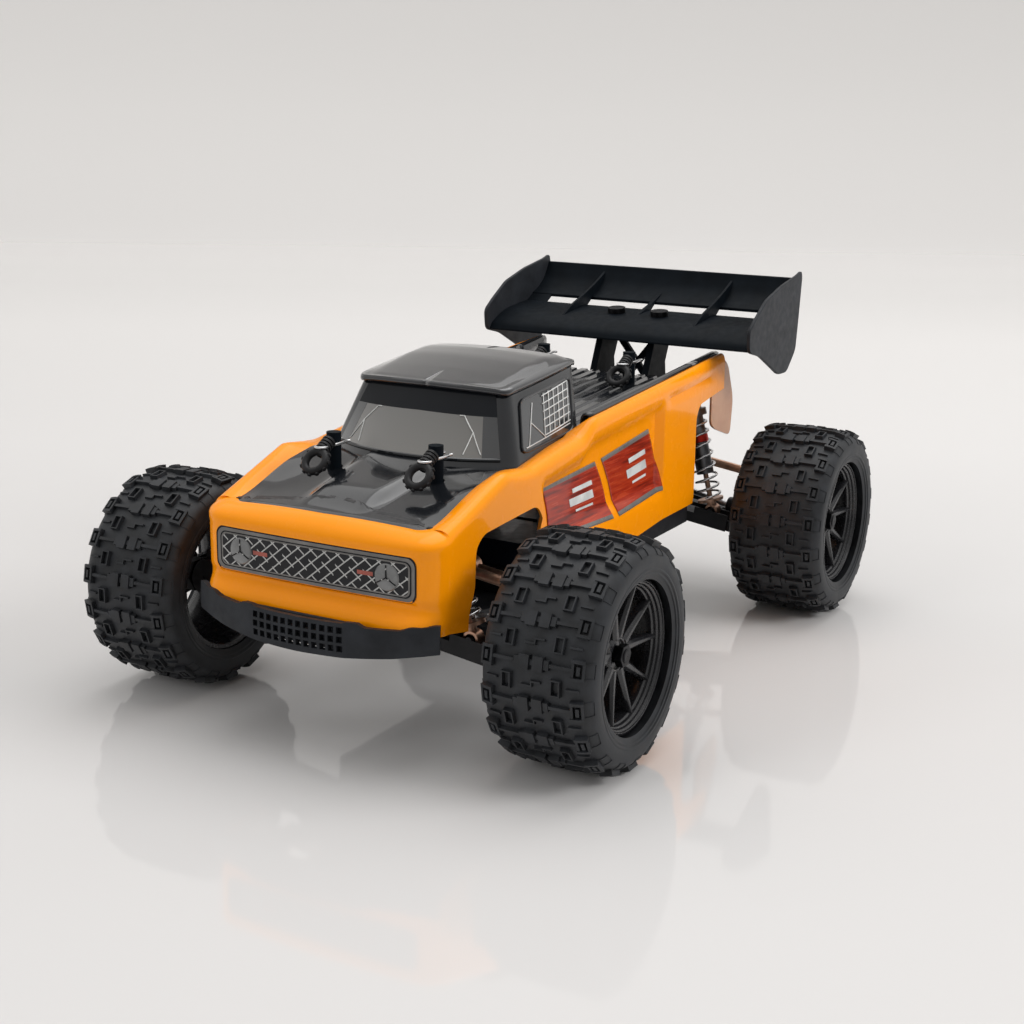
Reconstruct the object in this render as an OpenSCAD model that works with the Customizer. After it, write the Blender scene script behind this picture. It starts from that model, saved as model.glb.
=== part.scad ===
// Four-wheel-drive radio-controlled stadium buggy with a pickup body.
// +X is forward, +Y the vehicle's left, +Z up. The floor is z = 0 and the
// origin is at the middle of the footprint.

/* [Wheels] */
// Front axle position along X
front_axle_x = 97.5; // [97:0.5:98]
// Rear axle position along X
rear_axle_x = -105.5; // [-106:0.5:-105]
// Outer radius of the tyres over their lugs, which is also the axle height
tyre_r = 39.5; // [39.2:0.1:39.6]
// Distance from the centre line to a tyre's outer face
track_half = 102.5; // [102:0.1:103]
// Width of a tyre
tyre_w = 40; // [38:0.5:40]
// Outer radius of a rim, where the bead sits
rim_r = 25.8; // [25.4:0.1:26]
// Lugs round a tyre
lug_count = 18; // [12:1:20]
// Spoke ends round a rim
spoke_count = 10; // [6:1:12]

/* [Suspension] */
// Distance of the arms' inner pivots from the centre line
arm_inner_y = 20; // [19.8:0.1:20.2]
// Distance of the arms' outer pivots from the centre line
arm_outer_y = 58; // [57.8:0.1:58.2]
// Height of the lower arms' inner pivots
arm_inner_z = 38.5; // [38.3:0.1:38.7]
// Height of the lower arms' outer pivots
arm_outer_z = 33; // [32.9:0.1:33.1]
// Height of the upper link above the lower arm
link_rise = 23; // [22.9:0.1:23.2]
// Height of the front dampers' top pivots
front_damper_z = 76; // [75:0.5:76.5]
// Height of the rear dampers' top pivots
rear_damper_z = 88; // [87:0.5:88.5]
// Coils in a damper spring
spring_turns = 7; // [4:0.5:8]

/* [Driveline] */
// Height of the driveshaft and of both differentials
drive_z = 47.8; // [47.6:0.1:48]

/* [Steering] */
// Distance of the kingpins from the centre line
kingpin_y = 68; // [67.9:0.1:68.1]
// Length of the servo horn and of the steering arms
steer_arm = 14; // [13.9:0.1:14.1]

/* [Body] */
// Half width of the body shell at its sills
shell_half_w = 47.5; // [47.4:0.1:47.8]
// Wall of the body shell
shell_wall = 1.2; // [1:0.1:1.4]
// Foremost point of the bumper
nose_x = 145; // [144.5:0.1:145]
// Height of the wing's rear tips
wing_top_z = 140; // [139:0.5:141]
// Half width of the wing over its endplates
wing_half_w = 63.5; // [62:0.5:64]

/* [Hidden] */
$fn = 48;
axle_z = tyre_r;
tyre_in_y = track_half - tyre_w;
rim_face_y = track_half - 4;
rim_back_y = tyre_in_y + 2;
link_inner_z = arm_inner_z + link_rise;
link_outer_z = arm_outer_z + link_rise;
run_gap = 0.06;
piece_gap = 0.03;
pin_r = 1.25;
// Suspension pieces, as offsets along X from their axle
arm_half_x = 13.5;
ear_in_x = 9.4;
shock_dx = 10;
tower_dx = 16;
// Damper: its lower eye, and how far it leans
eye_y = 45.5;
eye_z = 39.5;
front_damper_y = 32;
rear_damper_y = 33;
// Floor of the chassis
floor_z = 33.2;
floor_t = 1.8;
deck_z = floor_z + floor_t;
// Gearboxes
box_half_x = 14;
box_half_y = 15;
box_top_z = drive_z + 12.8;
// Gears. Their tooth counts set how fast each shaft turns.
spur_teeth = 40;
pinion_teeth = 12;
ring_teeth = 27;
bevel_teeth = 9;
gear_module = 0.6;
spur_x = -44;
spur_t = 4;
spur_r = spur_teeth * gear_module / 2;
motor_pinion_r = pinion_teeth * gear_module / 2;
gear_distance = spur_r + motor_pinion_r;
motor_y = -15.4;
motor_z = drive_z + sqrt(gear_distance * gear_distance - motor_y * motor_y);
motor_angle = atan2(motor_z - drive_z, motor_y);
motor_r = 12.5;
motor_len = 34;
shaft_r = 2.2;
ring_mean_r = 9.3;
bevel_r = ring_mean_r * bevel_teeth / ring_teeth;
tooth_h = 0.5;
// Steering
link_z = 51 + arm_inner_z - arm_outer_z;
rod_outer_z = 51;
rod_inner_y = kingpin_y - (arm_outer_y - arm_inner_y);
tie_x = front_axle_x - steer_arm;
horn_x = 72;
horn_y = -23;
ball_r = 2.2;
// Body posts
front_post_x = 92;
rear_post_x = -60;
front_post_y = 21;
rear_post_y = 20;
front_post_top = 99;
rear_post_top = 111;
// Wing
divider_y = 31.7;
button_y = 10.4;
button_x = -110;
blade_slope = atan2(2.1, 21);

// ---- Shared shapes ------------------------------------------------------
// A rod along X, Y or Z between two positions.
module rod_x(r, x0, x1) translate([x0, 0, 0]) rotate([0, 90, 0]) cylinder(r = r, h = x1 - x0);
module rod_y(r, y0, y1) translate([0, y1, 0]) rotate([90, 0, 0]) cylinder(r = r, h = y1 - y0);
module rod_z(r, z0, z1) translate([0, 0, z0]) cylinder(r = r, h = z1 - z0);
// A box between two corners.
module block(a, b) translate(a) cube(b - a);
// A side-view outline, given as x and z, thickened along Y.
module side_plate(y0, y1) translate([0, y1, 0]) rotate([90, 0, 0]) linear_extrude(height = y1 - y0) children();
// A front-view outline, given as y and z, thickened along X.
module front_plate(x0, x1) translate([x0, 0, 0]) rotate([90, 0, 90]) linear_extrude(height = x1 - x0) children();
// The left piece as it is, or its mirror image on the right.
module on_side(side) if (side > 0) children(); else mirror([0, 1, 0]) children();
// Outline of a straight-toothed wheel with narrow teeth.
module tooth_outline(teeth, root_r, tip_r, width)
  for (i = [0 : teeth - 1]) rotate(i * 360 / teeth)
    polygon([[root_r - 0.5, -width / 2], [tip_r, -width / 4], [tip_r, width / 4], [root_r - 0.5, width / 2]]);
module gear_outline(teeth, root_r, tip_r, width) {
  circle(r = root_r);
  tooth_outline(teeth, root_r, tip_r, width);
}
// Two round bosses joined by a flat bar, in side or plan view.
module bar_outline(a, b, ra, rb) hull() {
  translate(a) circle(r = ra);
  translate(b) circle(r = rb);
}

// ---- Chassis ------------------------------------------------------------
// Plan of the floor: narrow between the arms, wide at the middle.
module floor_plan() polygon([[-120, -14], [-90, -14], [-82, -16], [-66, -30], [56, -30], [72, -24], [82, -15.5],
  [113, -14], [118, -9], [118, 9], [113, 14], [82, 15.5], [72, 24], [56, 30], [-66, 30], [-82, 16], [-90, 14],
  [-120, 14]]);
module guard_section() polygon([[28, floor_z], [30, floor_z], [46, 41], [46, 50], [44.6, 50], [44.6, 42.4],
  [29.6, deck_z], [28, deck_z]]);
module chassis_tub() color([0.09, 0.09, 0.1]) {
  difference() {
    union() {
      translate([0, 0, floor_z]) linear_extrude(height = floor_t) floor_plan();
      for (side = [-1, 1]) on_side(side) {
        // Side guard, sloping at both ends
        intersection() {
          front_plate(-66, 56) guard_section();
          side_plate(20, 50) polygon([[-66, 30], [-66, 50], [-40, 50], [10, 46], [30, 50], [56, 52], [56, 30]]);
        }
      }
      // Motor plate and shaft bearing wall
      block([spur_x + spur_t / 2 + 1, -28, deck_z - 0.5], [spur_x + spur_t / 2 + 3, 8, drive_z + 8]);
      block([spur_x + spur_t / 2 + 1, 7, deck_z - 0.5], [spur_x + spur_t / 2 + 3, 29.6, deck_z + 10]);
      // Front bearing wall
      block([52, -7, deck_z - 0.5], [55, 7, drive_z + 6]);
      // Front wall of the battery tray
      block([46.4, 9, deck_z - 0.5], [48, 29.6, deck_z + 10]);
    }
    translate([0, 0, drive_z]) rod_x(shaft_r + run_gap, -60, 60);
    // Boss of the motor
    translate([0, motor_y, motor_z]) rod_x(5, spur_x, spur_x + 8);
    // Countersunk holes for the floor screws
    for (x = [front_axle_x, rear_axle_x]) for (dx = [-9, 9]) for (y = [-9, 9])
      translate([x + dx, y, 0]) {
        rod_z(1.3, 30, 40);
        rod_z(2.36, 30, floor_z + 1.22);
      }
  }
}

// Housing of a differential. The driveshaft enters on the given side.
module gearbox(axle_x, shaft_dir) {
  lug_gap = 2.8;
  translate([axle_x, 0, 0]) difference() {
    union() {
      block([-box_half_x, -box_half_y, deck_z], [box_half_x, box_half_y, box_top_z]);
      for (side = [-1, 1]) on_side(side) {
        // Lugs for the lower hinge pins
        for (dx = [-arm_half_x - 3.4, arm_half_x + 0.4]) {
          translate([dx, arm_inner_y, arm_inner_z]) rod_x(3, 0, 3);
          block([dx, box_half_y - 3, arm_inner_z - 3], [dx + 3, arm_inner_y, arm_inner_z + 3]);
        }
        // Lugs for the upper links
        for (dx = [-lug_gap - 2.4, lug_gap]) {
          translate([dx, arm_inner_y, link_inner_z]) rod_x(3, 0, 2.4);
          block([dx, box_half_y - 3, box_top_z - 8], [dx + 2.4, arm_inner_y, link_inner_z + 3]);
        }
      }
      // End plates that carry the lower lugs
      for (dx = [-arm_half_x - 3.4, arm_half_x + 0.4])
        block([dx, -box_half_y, deck_z], [dx + 3, box_half_y, arm_inner_z + 3]);
    }
    // Room for the differential
    block([-12, -12.6, deck_z + 1.6], [12, 12.6, box_top_z - 1.6]);
    // Bores for the outdrives and the driveshaft
    translate([0, 0, drive_z]) rod_y(4 + run_gap, -20, 20);
    translate([0, 0, drive_z]) rod_x(shaft_r + run_gap, shaft_dir > 0 ? 5 : -25, shaft_dir > 0 ? 25 : -5);
    for (side = [-1, 1]) on_side(side) {
      translate([0, arm_inner_y, arm_inner_z]) rod_x(pin_r, -20, 20);
      translate([0, arm_inner_y, link_inner_z]) rod_x(pin_r, -20, 20);
    }
    // Blind holes for the floor screws
    for (dx = [-9, 9]) for (y = [-9, 9]) translate([dx, y, 0]) rod_z(1.3, 30, deck_z + 1);
  }
}
module front_gearbox() color([0.1, 0.1, 0.11]) gearbox(front_axle_x, -1);
module rear_gearbox() color([0.1, 0.1, 0.11]) gearbox(rear_axle_x, 1);

// Upright plate that holds the tops of a pair of dampers.
module shock_tower(axle_x, damper_y, damper_z) {
  foot_z = box_top_z - 9;
  translate([axle_x + tower_dx, 0, 0]) difference() {
    union() {
      front_plate(0, 3) polygon([[-14, foot_z], [14, foot_z], [20, foot_z + 12], [damper_y + 5, damper_z - 6],
        [damper_y + 5, damper_z + 3], [damper_y - 6, damper_z + 3], [12, damper_z - 9], [-12, damper_z - 9],
        [6 - damper_y, damper_z + 3], [-damper_y - 5, damper_z + 3], [-damper_y - 5, damper_z - 6],
        [-20, foot_z + 12]]);
      // Foot against the gearbox
      block([box_half_x - tower_dx, -12, foot_z], [0, 12, box_top_z]);
    }
    // Lightening hole
    front_plate(-3, 4) hull() for (y = [-6, 6]) translate([y, box_top_z + 5]) circle(r = 3.5);
    for (y = [-damper_y, damper_y]) translate([0, y, damper_z]) rod_x(pin_r, -1, 4);
  }
}
module front_shock_tower() color([0.12, 0.12, 0.13]) shock_tower(front_axle_x, front_damper_y, front_damper_z);
module rear_shock_tower() color([0.12, 0.12, 0.13]) shock_tower(rear_axle_x, rear_damper_y, rear_damper_z);

// ---- Bumper -------------------------------------------------------------
bumper_r = 105;
bumper_low_z = 37.5;
bumper_top_z = 51;
module bumper_plan(r) translate([nose_x - bumper_r, 0]) circle(r = r, $fn = 160);
module front_bumper() color([0.13, 0.13, 0.14]) difference() {
  union() {
    intersection() {
      translate([0, 0, bumper_low_z]) linear_extrude(height = bumper_top_z - bumper_low_z) difference() {
        bumper_plan(bumper_r);
        bumper_plan(bumper_r - 2.2);
      }
      // Front view: deepest in the middle, with raised tips
      front_plate(120, 150) polygon([[-48.3, 41], [-30, 38], [0, bumper_low_z], [30, 38], [48.3, 41],
        [48.3, bumper_top_z], [45, bumper_top_z], [42, 49.6], [20, 50.5], [18, 49.4], [-18, 49.4], [-20, 50.5],
        [-42, 49.6], [-45, bumper_top_z], [-48.3, bumper_top_z]]);
    }
    // Stays back to the chassis
    for (y = [-24, 18]) block([119, y, 39], [141.7, y + 6, 44]);
    block([117, -24, 39], [122, 24, 43]);
    block([114.42, -9, deck_z], [122, 9, 43]);
  }
  // Three rows of square holes
  for (row = [0 : 2]) for (col = [0 : 11])
    translate([130, (col - 5.5) * 3.05, 40 + row * 3.1]) block([0, -1, 0], [20, 1, 2.1]);
}

// ---- Electrics ----------------------------------------------------------
module motor() color([0.55, 0.1, 0.1]) translate([0, motor_y, motor_z]) {
  x0 = spur_x + spur_t / 2 + 3;
  rod_x(motor_r, x0 + 0.02, x0 + motor_len);
  rod_x(4.8, x0 - 1.8, x0 + 0.1);
  for (a = [60 : 20 : 300]) rotate([a, 0, 0]) block([x0 + 6, motor_r - 0.5, -0.6], [x0 + 28, motor_r + 0.5, 0.6]);
}
servo_x0 = 54;
servo_x1 = 80;
module servo() color([0.08, 0.08, 0.09]) {
  block([servo_x0, horn_y - 6.5, deck_z], [servo_x1, horn_y + 6.5, 51.5]);
  block([servo_x0 - 2.6, horn_y - 6.5, 45], [servo_x1 + 2.6, horn_y + 6.5, 47]);
  translate([horn_x, horn_y, 0]) rod_z(5, 51.4, 52.6);
  translate([horn_x, horn_y, 0]) rod_z(1.9, 52.5, 54.6);
}
module esc_receiver() color([0.15, 0.15, 0.17]) {
  // Speed controller with a finned heat sink
  block([4, -28, deck_z], [42, -9, deck_z + 14]);
  for (i = [0 : 6]) block([8 + i * 4.6, -27, deck_z + 13.9], [9.6 + i * 4.6, -10, deck_z + 19]);
  // Receiver, standing behind the motor plate
  block([-64, -28, deck_z], [-50, -25, deck_z + 10]);
}
module battery() color([0.1, 0.15, 0.5]) {
  block([-38.6, 4.8, deck_z], [46, 29, deck_z + 20]);
  // Strap
  difference() {
    block([-2, 4.2, deck_z], [14, 29.55, deck_z + 20.6]);
    block([-3, 4.8, deck_z - 1], [15, 29, deck_z + 20]);
  }
}

// ---- Body posts, clips and wing -----------------------------------------
module body_post(x, y, z0, z1) {
  translate([x, y, 0]) difference() {
    rod_z(2.6, z0, z1);
    // Cross hole for the clip
    translate([0, 0, z1 - 3.5]) rod_x(0.8, -4, 4);
  }
  // Collar under the shell
  translate([x, y, 0]) rod_z(4.2, z1 - 16.2, z1 - 14.7);
}
module body_posts() color([0.08, 0.08, 0.09]) {
  base_z = link_inner_z + 3.6;
  block([front_post_x - 3, -front_post_y - 3.5, base_z], [front_post_x + 3, front_post_y + 3.5, base_z + 2.5]);
  block([front_post_x - 3, -10, box_top_z], [front_post_x + 3, 10, base_z + 0.2]);
  for (side = [-1, 1]) {
    body_post(front_post_x, side * front_post_y, base_z, front_post_top);
    body_post(rear_post_x, side * rear_post_y, deck_z, rear_post_top);
    translate([rear_post_x, side * rear_post_y, 0]) rod_z(5, deck_z, deck_z + 3);
  }
}
// One clip: a straight leg through the post, a second leg beside the post,
// and a rubber tab to pull it by.
module body_clip(x, y, z) translate([x, y, z]) {
  rod_x(0.65, -6, 10);
  translate([0, 3.5, 0]) rod_x(0.65, -4, 10);
  // End loop and tab
  translate([10, 1.9, -0.65]) linear_extrude(height = 1.3) difference() {
    circle(r = 2.5);
    circle(r = 1.25);
  }
  translate([15.6, 1.9, -0.9]) linear_extrude(height = 1.8) difference() {
    circle(r = 4.2);
    circle(r = 2);
  }
}
module body_clips() color("silver") {
  for (side = [-1, 1]) {
    body_clip(front_post_x, side * front_post_y, front_post_top - 3.5);
    body_clip(rear_post_x, side * rear_post_y, rear_post_top - 3.5);
  }
}
module wing_mount() color([0.08, 0.08, 0.09]) {
  foot_z = link_inner_z + 3.4;
  // Two raked uprights from the gearbox to the wing
  for (side = [-1, 1]) on_side(side) difference() {
    side_plate(11, 14) polygon([[-117, foot_z], [-96, foot_z], [-92, 96], [-101, 116.78], [-119, 118.85],
      [-110, 100], [-113, 80]]);
    side_plate(10, 15) polygon([[-111, foot_z + 3], [-101, foot_z + 3], [-99, 90], [-106, 92]]);
  }
  for (side = [-1, 1]) on_side(side) block([-117, 7, box_top_z + 0.02], [-96, 11.6, foot_z + 2]);
  block([-110, -8, box_top_z + 0.02], [-103, 8, box_top_z + 2.5]);
  // Crossed braces between them
  for (slant = [-1, 1]) front_plate(-112, -110) hull() {
    translate([slant * -11, 84]) circle(r = 1.4);
    translate([slant * 11, 112]) circle(r = 1.4);
  }
  block([-112, -12, 80], [-109, 12, 84]);
}
module blade_outline() polygon([[-86.5, 111.2], [-88, 114], [-100, 118.6], [-121, 120.7], [-121, 119.1],
  [-101, 116.8], [-90, 112.4]]);
module flap_outline() polygon([[-126, 123.6], [-133, 126.8], [-138.6, 131.6], [-141.5, wing_top_z - 3.6],
  [-143, wing_top_z - 3.6], [-140.4, 130.2], [-134, 124.8], [-126, 122.2]]);
module endplate_outline() polygon([[-84, 112], [-83, 120], [-90, 124.5], [-101, 131], [-118, 136],
  [-137, wing_top_z - 1.5], [-142.5, wing_top_z], [-143.5, wing_top_z - 3], [-139.5, 105], [-128, 96.8],
  [-119.5, 97.2], [-108, 102.6], [-96, 108.4]]);
module rear_wing() color([0.1, 0.1, 0.11]) {
  side_plate(-wing_half_w + 1, wing_half_w - 1) blade_outline();
  side_plate(-wing_half_w + 1, wing_half_w - 1) flap_outline();
  for (side = [-1, 1]) on_side(side) {
    side_plate(wing_half_w - 1.6, wing_half_w) endplate_outline();
    // Divider, which also joins the two blades
    side_plate(divider_y - 0.7, divider_y + 0.7) polygon([[-101, 113.4], [-100, 118], [-121, 126], [-141.5, 134],
      [-141.8, 131], [-134, 122], [-121, 118.5]]);
  }
  side_plate(-1, 1) polygon([[-108, 116], [-108, 119.8], [-134, 126.5], [-134, 123], [-121, 118.5]]);
}
// Fasteners: the two wing buttons, the servo horn's screw and the floor screws.
module screws() color("dimgray") {
  for (side = [-1, 1])
    translate([button_x, side * button_y, 119.62]) rotate([0, blade_slope, 0]) rod_z(3.9, 0.02, 2.4);
  translate([horn_x, horn_y, 0]) rod_z(1.8, 54.62, 55.2);
  for (x = [front_axle_x, rear_axle_x]) for (dx = [-9, 9]) for (y = [-9, 9]) translate([x + dx, y, 0]) {
    rod_z(1.28, floor_z + 1.1, deck_z + 0.98);
    rod_z(2.3, floor_z + 0.05, floor_z + 1.2);
  }
}
module hinge_pins() color([0.75, 0.5, 0.35]) {
  for (x = [front_axle_x, rear_axle_x]) translate([x, 0, 0]) for (side = [-1, 1]) {
    translate([0, side * arm_inner_y, arm_inner_z]) rod_x(pin_r, -17.5, 17.5);
    translate([0, side * arm_inner_y, link_inner_z]) rod_x(pin_r, -6, 6);
  }
  for (side = [-1, 1]) {
    translate([front_axle_x, side * front_damper_y, front_damper_z]) rod_x(pin_r, shock_dx - 4, tower_dx + 4);
    translate([rear_axle_x, side * rear_damper_y, rear_damper_z]) rod_x(pin_r, shock_dx - 4, tower_dx + 4);
  }
}

// ---- Body shell ---------------------------------------------------------
// Side view of the shell without the cab: top edge, tail and a straight sill.
module shell_top_profile(t, sill_z) polygon([[131.5 - t, sill_z], [131.5 - t, 47], [133.8 - t, 57],
  [133.8 - t, 73.4], [126 - t, 80.5 - t], [88, 91.5 - t], [38, 95.5 - t], [30, 100 - t], [-97 + t, 108.5 - t],
  [-99.5 + t, 104 - t], [-99.5 + t, sill_z]]);
module arch_outline() polygon([[58, 40], [58.5, 60], [68, 76.8], [72, 78.4], [103, 76.6], [109, 75], [110.5, 71],
  [110.5, 62], [113.6, 57], [113.6, 40]]);
module tail_outline() polygon([[-110, 40], [-34, 40], [-34, 49], [-64, 50.5], [-66, 54], [-66, 86], [-69, 90.5],
  [-99.4, 93], [-110, 93]]);
module sill_outline() polygon([[-34, 20], [-34, 49], [-2, 47], [23, 53.5], [58.3, 61], [60, 20]]);
module nose_outline() polygon([[110.2, 20], [110.2, 43.6], [140, 47.4], [140, 20]]);
module plan_outline(t) polygon([[134 - t, 38 - t], [124 - t, shell_half_w - t], [-100 + t, shell_half_w - t],
  [-100 + t, -shell_half_w + t], [124 - t, -shell_half_w + t], [134 - t, -38 + t]]);
// Recess of the load bed, between the two rails.
module bed_recess(t) {
  side_plate(-39.5 - t, 39.5 + t) polygon([[8 + t, 130], [22 + t, 92.5 - t], [-74 - t, 99 - t],
    [-76 - t, 60], [-110, 60], [-110, 130]]);
}
module cab(t) intersection() {
  side_plate(-45, 45) polygon([[87 - t, 86], [84 - t, 89.6 - t / 2], [61.5 - t, 112.4 - t], [54, 116.6 - t],
    [36, 119.4 - t], [15 + t, 121 - t], [9 + t, 118.4 - t], [20 + t, 91], [21 + t, 86]]);
  front_plate(0, 100) polygon([[-39.4 + t, 80], [-38.4 + t, 92], [-31.4 + t, 115 - t], [-27 + t, 120 - t],
    [0, 121.4 - t], [27 - t, 120 - t], [31.4 - t, 115 - t], [38.4 - t, 92], [39.4 - t, 80]]);
}
module shell_solid(t, sill_z) {
  intersection() {
    side_plate(-shell_half_w + t, shell_half_w - t) shell_top_profile(t, sill_z);
    translate([0, 0, 10]) linear_extrude(height = 120) plan_outline(t);
  }
  cab(t);
}
module body_shell() color([1, 0.6, 0.05]) difference() {
  union() {
    difference() {
      shell_solid(0, 42);
      bed_recess(0);
      difference() {
        shell_solid(shell_wall, 20);
        bed_recess(shell_wall);
      }
    }
    // Clear tail panels behind the rear wheel arches
    for (side = [-1, 1]) on_side(side)
      side_plate(43.6, 44.8) polygon([[-92, 94], [-92, 77], [-97, 74.5], [-115, 69], [-116, 85], [-108, 103],
        [-99, 107.4], [-92, 107]]);
  }
  side_plate(-60, 60) arch_outline();
  difference() {
    side_plate(-60, 60) tail_outline();
    for (side = [-1, 1]) on_side(side) block([-120, 43.5, 60], [-91, 44.9, 95]);
  }
  side_plate(-60, 60) sill_outline();
  side_plate(-60, 60) nose_outline();
  // Holes that the body posts come through
  for (side = [-1, 1]) {
    translate([front_post_x, side * front_post_y, 0]) rod_z(3.2, 80, 110);
    translate([rear_post_x, side * rear_post_y, 0]) rod_z(3.2, 90, 120);
  }
}

// ---- Driveline ----------------------------------------------------------
// A ring gear's teeth stand along Y and a bevel pinion runs across them.
module differential(ring_side) {
  rod_y(7.5, -9, 9);
  rod_y(4, -18, 18);
  on_side(ring_side) {
    rod_y(11, bevel_r + 0.72, bevel_r + 2.9);
    for (i = [0 : ring_teeth - 1]) rotate([0, i * 360 / ring_teeth, 0])
      block([ring_mean_r - 1.1, bevel_r - 0.25, -0.36], [ring_mean_r + 1.1, bevel_r + 0.8, 0.36]);
  }
}
module differential_piece(axle_x, ring_side, phase) translate([axle_x, 0, drive_z]) difference() {
  rotate([0, phase, 0]) differential(ring_side);
  // Cups for the dogbones
  for (side = [-1, 1]) on_side(side) rod_y(2.7, 13.4, 20);
}
module front_diff() color("silver") differential_piece(front_axle_x, 1, 180 / ring_teeth);
module rear_diff() color("silver") differential_piece(rear_axle_x, -1, 0);
module bevel_pinion(x0, phase) translate([x0, 0, 0]) rotate([90, 0, 90]) linear_extrude(height = 2)
  rotate(phase) gear_outline(bevel_teeth, bevel_r - 0.6, bevel_r + 0.45, 1.3);
module center_shaft() color("silver") translate([0, 0, drive_z]) {
  front_end = front_axle_x - ring_mean_r - 1;
  rear_end = rear_axle_x + ring_mean_r - 1;
  rod_x(shaft_r, rear_end + 1.9, front_end + 0.1);
  bevel_pinion(front_end, 180 / bevel_teeth);
  bevel_pinion(rear_end, 180 + 180 / bevel_teeth);
  // Spur gear and its hub
  translate([spur_x - spur_t / 2, 0, 0]) rotate([90, 0, 90]) linear_extrude(height = spur_t)
    rotate(motor_angle) gear_outline(spur_teeth, spur_r - 0.6, spur_r + tooth_h, 1.25);
  rod_x(5, spur_x - spur_t / 2 - 4, spur_x - spur_t / 2 + 0.1);
}
module motor_pinion() color("gold") translate([spur_x - spur_t / 2, motor_y, motor_z]) {
  rotate([90, 0, 90]) linear_extrude(height = spur_t)
    rotate(motor_angle + 180 + 180 / pinion_teeth)
      gear_outline(pinion_teeth, motor_pinion_r - 0.6, motor_pinion_r + tooth_h, 1.25);
  rod_x(2.6, -3, 0.1);
}
// Drive shaft with a ball at each end. Its outer end is lower than its inner end.
module dogbone(axle_x, outer_y, side) {
  inner_y = 16.5;
  drop = drive_z - axle_z;
  span = outer_y - inner_y;
  lean = atan2(drop, span);
  len = sqrt(span * span + drop * drop);
  color("silver") on_side(side) translate([axle_x, inner_y, drive_z]) rotate([-lean, 0, 0]) {
    sphere(r = 2.4);
    rod_y(1.3, 0, len);
    translate([0, len, 0]) sphere(r = 2.2);
  }
}

// ---- Wheels -------------------------------------------------------------
bead_r = rim_r + 0.04;
// Carcass section as radius and distance from the centre line; it is hollow
// and sits open side down on the rim.
module tyre_section() polygon([[bead_r, rim_back_y + 0.6], [29, tyre_in_y], [33, tyre_in_y], [36.4, tyre_in_y + 3],
  [37.6, tyre_in_y + 7], [37.6, track_half - 7], [36.4, track_half - 3], [33, track_half], [29, track_half],
  [bead_r, rim_face_y - 0.6], [bead_r, rim_face_y - 4], [29, track_half - 4], [32.6, track_half - 4],
  [34.4, track_half - 8], [34.4, tyre_in_y + 8], [32.6, tyre_in_y + 4], [29, tyre_in_y + 4],
  [bead_r, rim_back_y + 4]]);
module lug_row(y0, y1, tip_r, offset_turns, fill) translate([0, y1, 0]) rotate([90, 0, 0])
  linear_extrude(height = y1 - y0) for (i = [0 : lug_count - 1]) rotate((i + offset_turns) * 360 / lug_count)
    polygon([[33.5, -33.5 * fill], [tip_r * sqrt(1 - fill * fill), -tip_r * fill], [tip_r, 0],
      [tip_r * sqrt(1 - fill * fill), tip_r * fill], [33.5, 33.5 * fill]]);
module tyre(axle_x, side) {
  mid_y = tyre_in_y + tyre_w / 2;
  color([0.07, 0.07, 0.07]) on_side(side) translate([axle_x, 0, axle_z]) {
    rotate([-90, 0, 0]) rotate_extrude() tyre_section();
    lug_row(tyre_in_y + 2.4, tyre_in_y + 11, 38.6, 0, 0.1);
    lug_row(mid_y - 8, mid_y - 0.6, tyre_r, 0.5, 0.115);
    lug_row(mid_y + 0.6, mid_y + 8, tyre_r, 0, 0.115);
    lug_row(track_half - 11, track_half - 2.4, 38.6, 0.5, 0.1);
  }
}
// Rim with its spokes, and the stub axle, hex and nut that turn with it.
module rim(axle_x, axle_in_y, side) {
  color([0.06, 0.06, 0.06]) on_side(side) translate([axle_x, 0, axle_z]) {
    difference() {
      rod_y(rim_r, rim_back_y, rim_face_y);
      rod_y(rim_r - 2.6, rim_back_y - 1, 84);
      rod_y(rim_r - 3.6, 83, rim_face_y + 1);
    }
    difference() {
      union() {
        for (i = [0 : spoke_count - 1]) rotate([0, i * 360 / spoke_count, 0])
          block([5, 89, -1.2], [rim_r - 3, 92.6, 1.2]);
        rod_y(7.4, 83, 93);
      }
      rod_y(2.5 + piece_gap, 80, 95);
    }
    // Axle nut
    difference() {
      rotate([-90, 0, 0]) translate([0, 0, 93 + piece_gap]) cylinder(r = 4.2, h = 3.4, $fn = 6);
      rod_y(2.5 + piece_gap, 90, 98);
    }
    // Stub axle with its hex drive and its cup
    difference() {
      union() {
        rod_y(2.5, axle_in_y + 5.9, 97);
        rod_y(4.3, axle_in_y, axle_in_y + 6.4);
        rotate([-90, 0, 0]) translate([0, 0, 78.4]) cylinder(r = 6.6, h = 4.6 - piece_gap, $fn = 6);
      }
      rod_y(3.1, axle_in_y - 1, axle_in_y + 5.4);
    }
  }
}

// ---- Suspension ---------------------------------------------------------
arm_span = arm_outer_y - arm_inner_y;
arm_lean = atan2(arm_inner_z - arm_outer_z, arm_span);
arm_len = sqrt(arm_span * arm_span + pow(arm_inner_z - arm_outer_z, 2));
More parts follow.
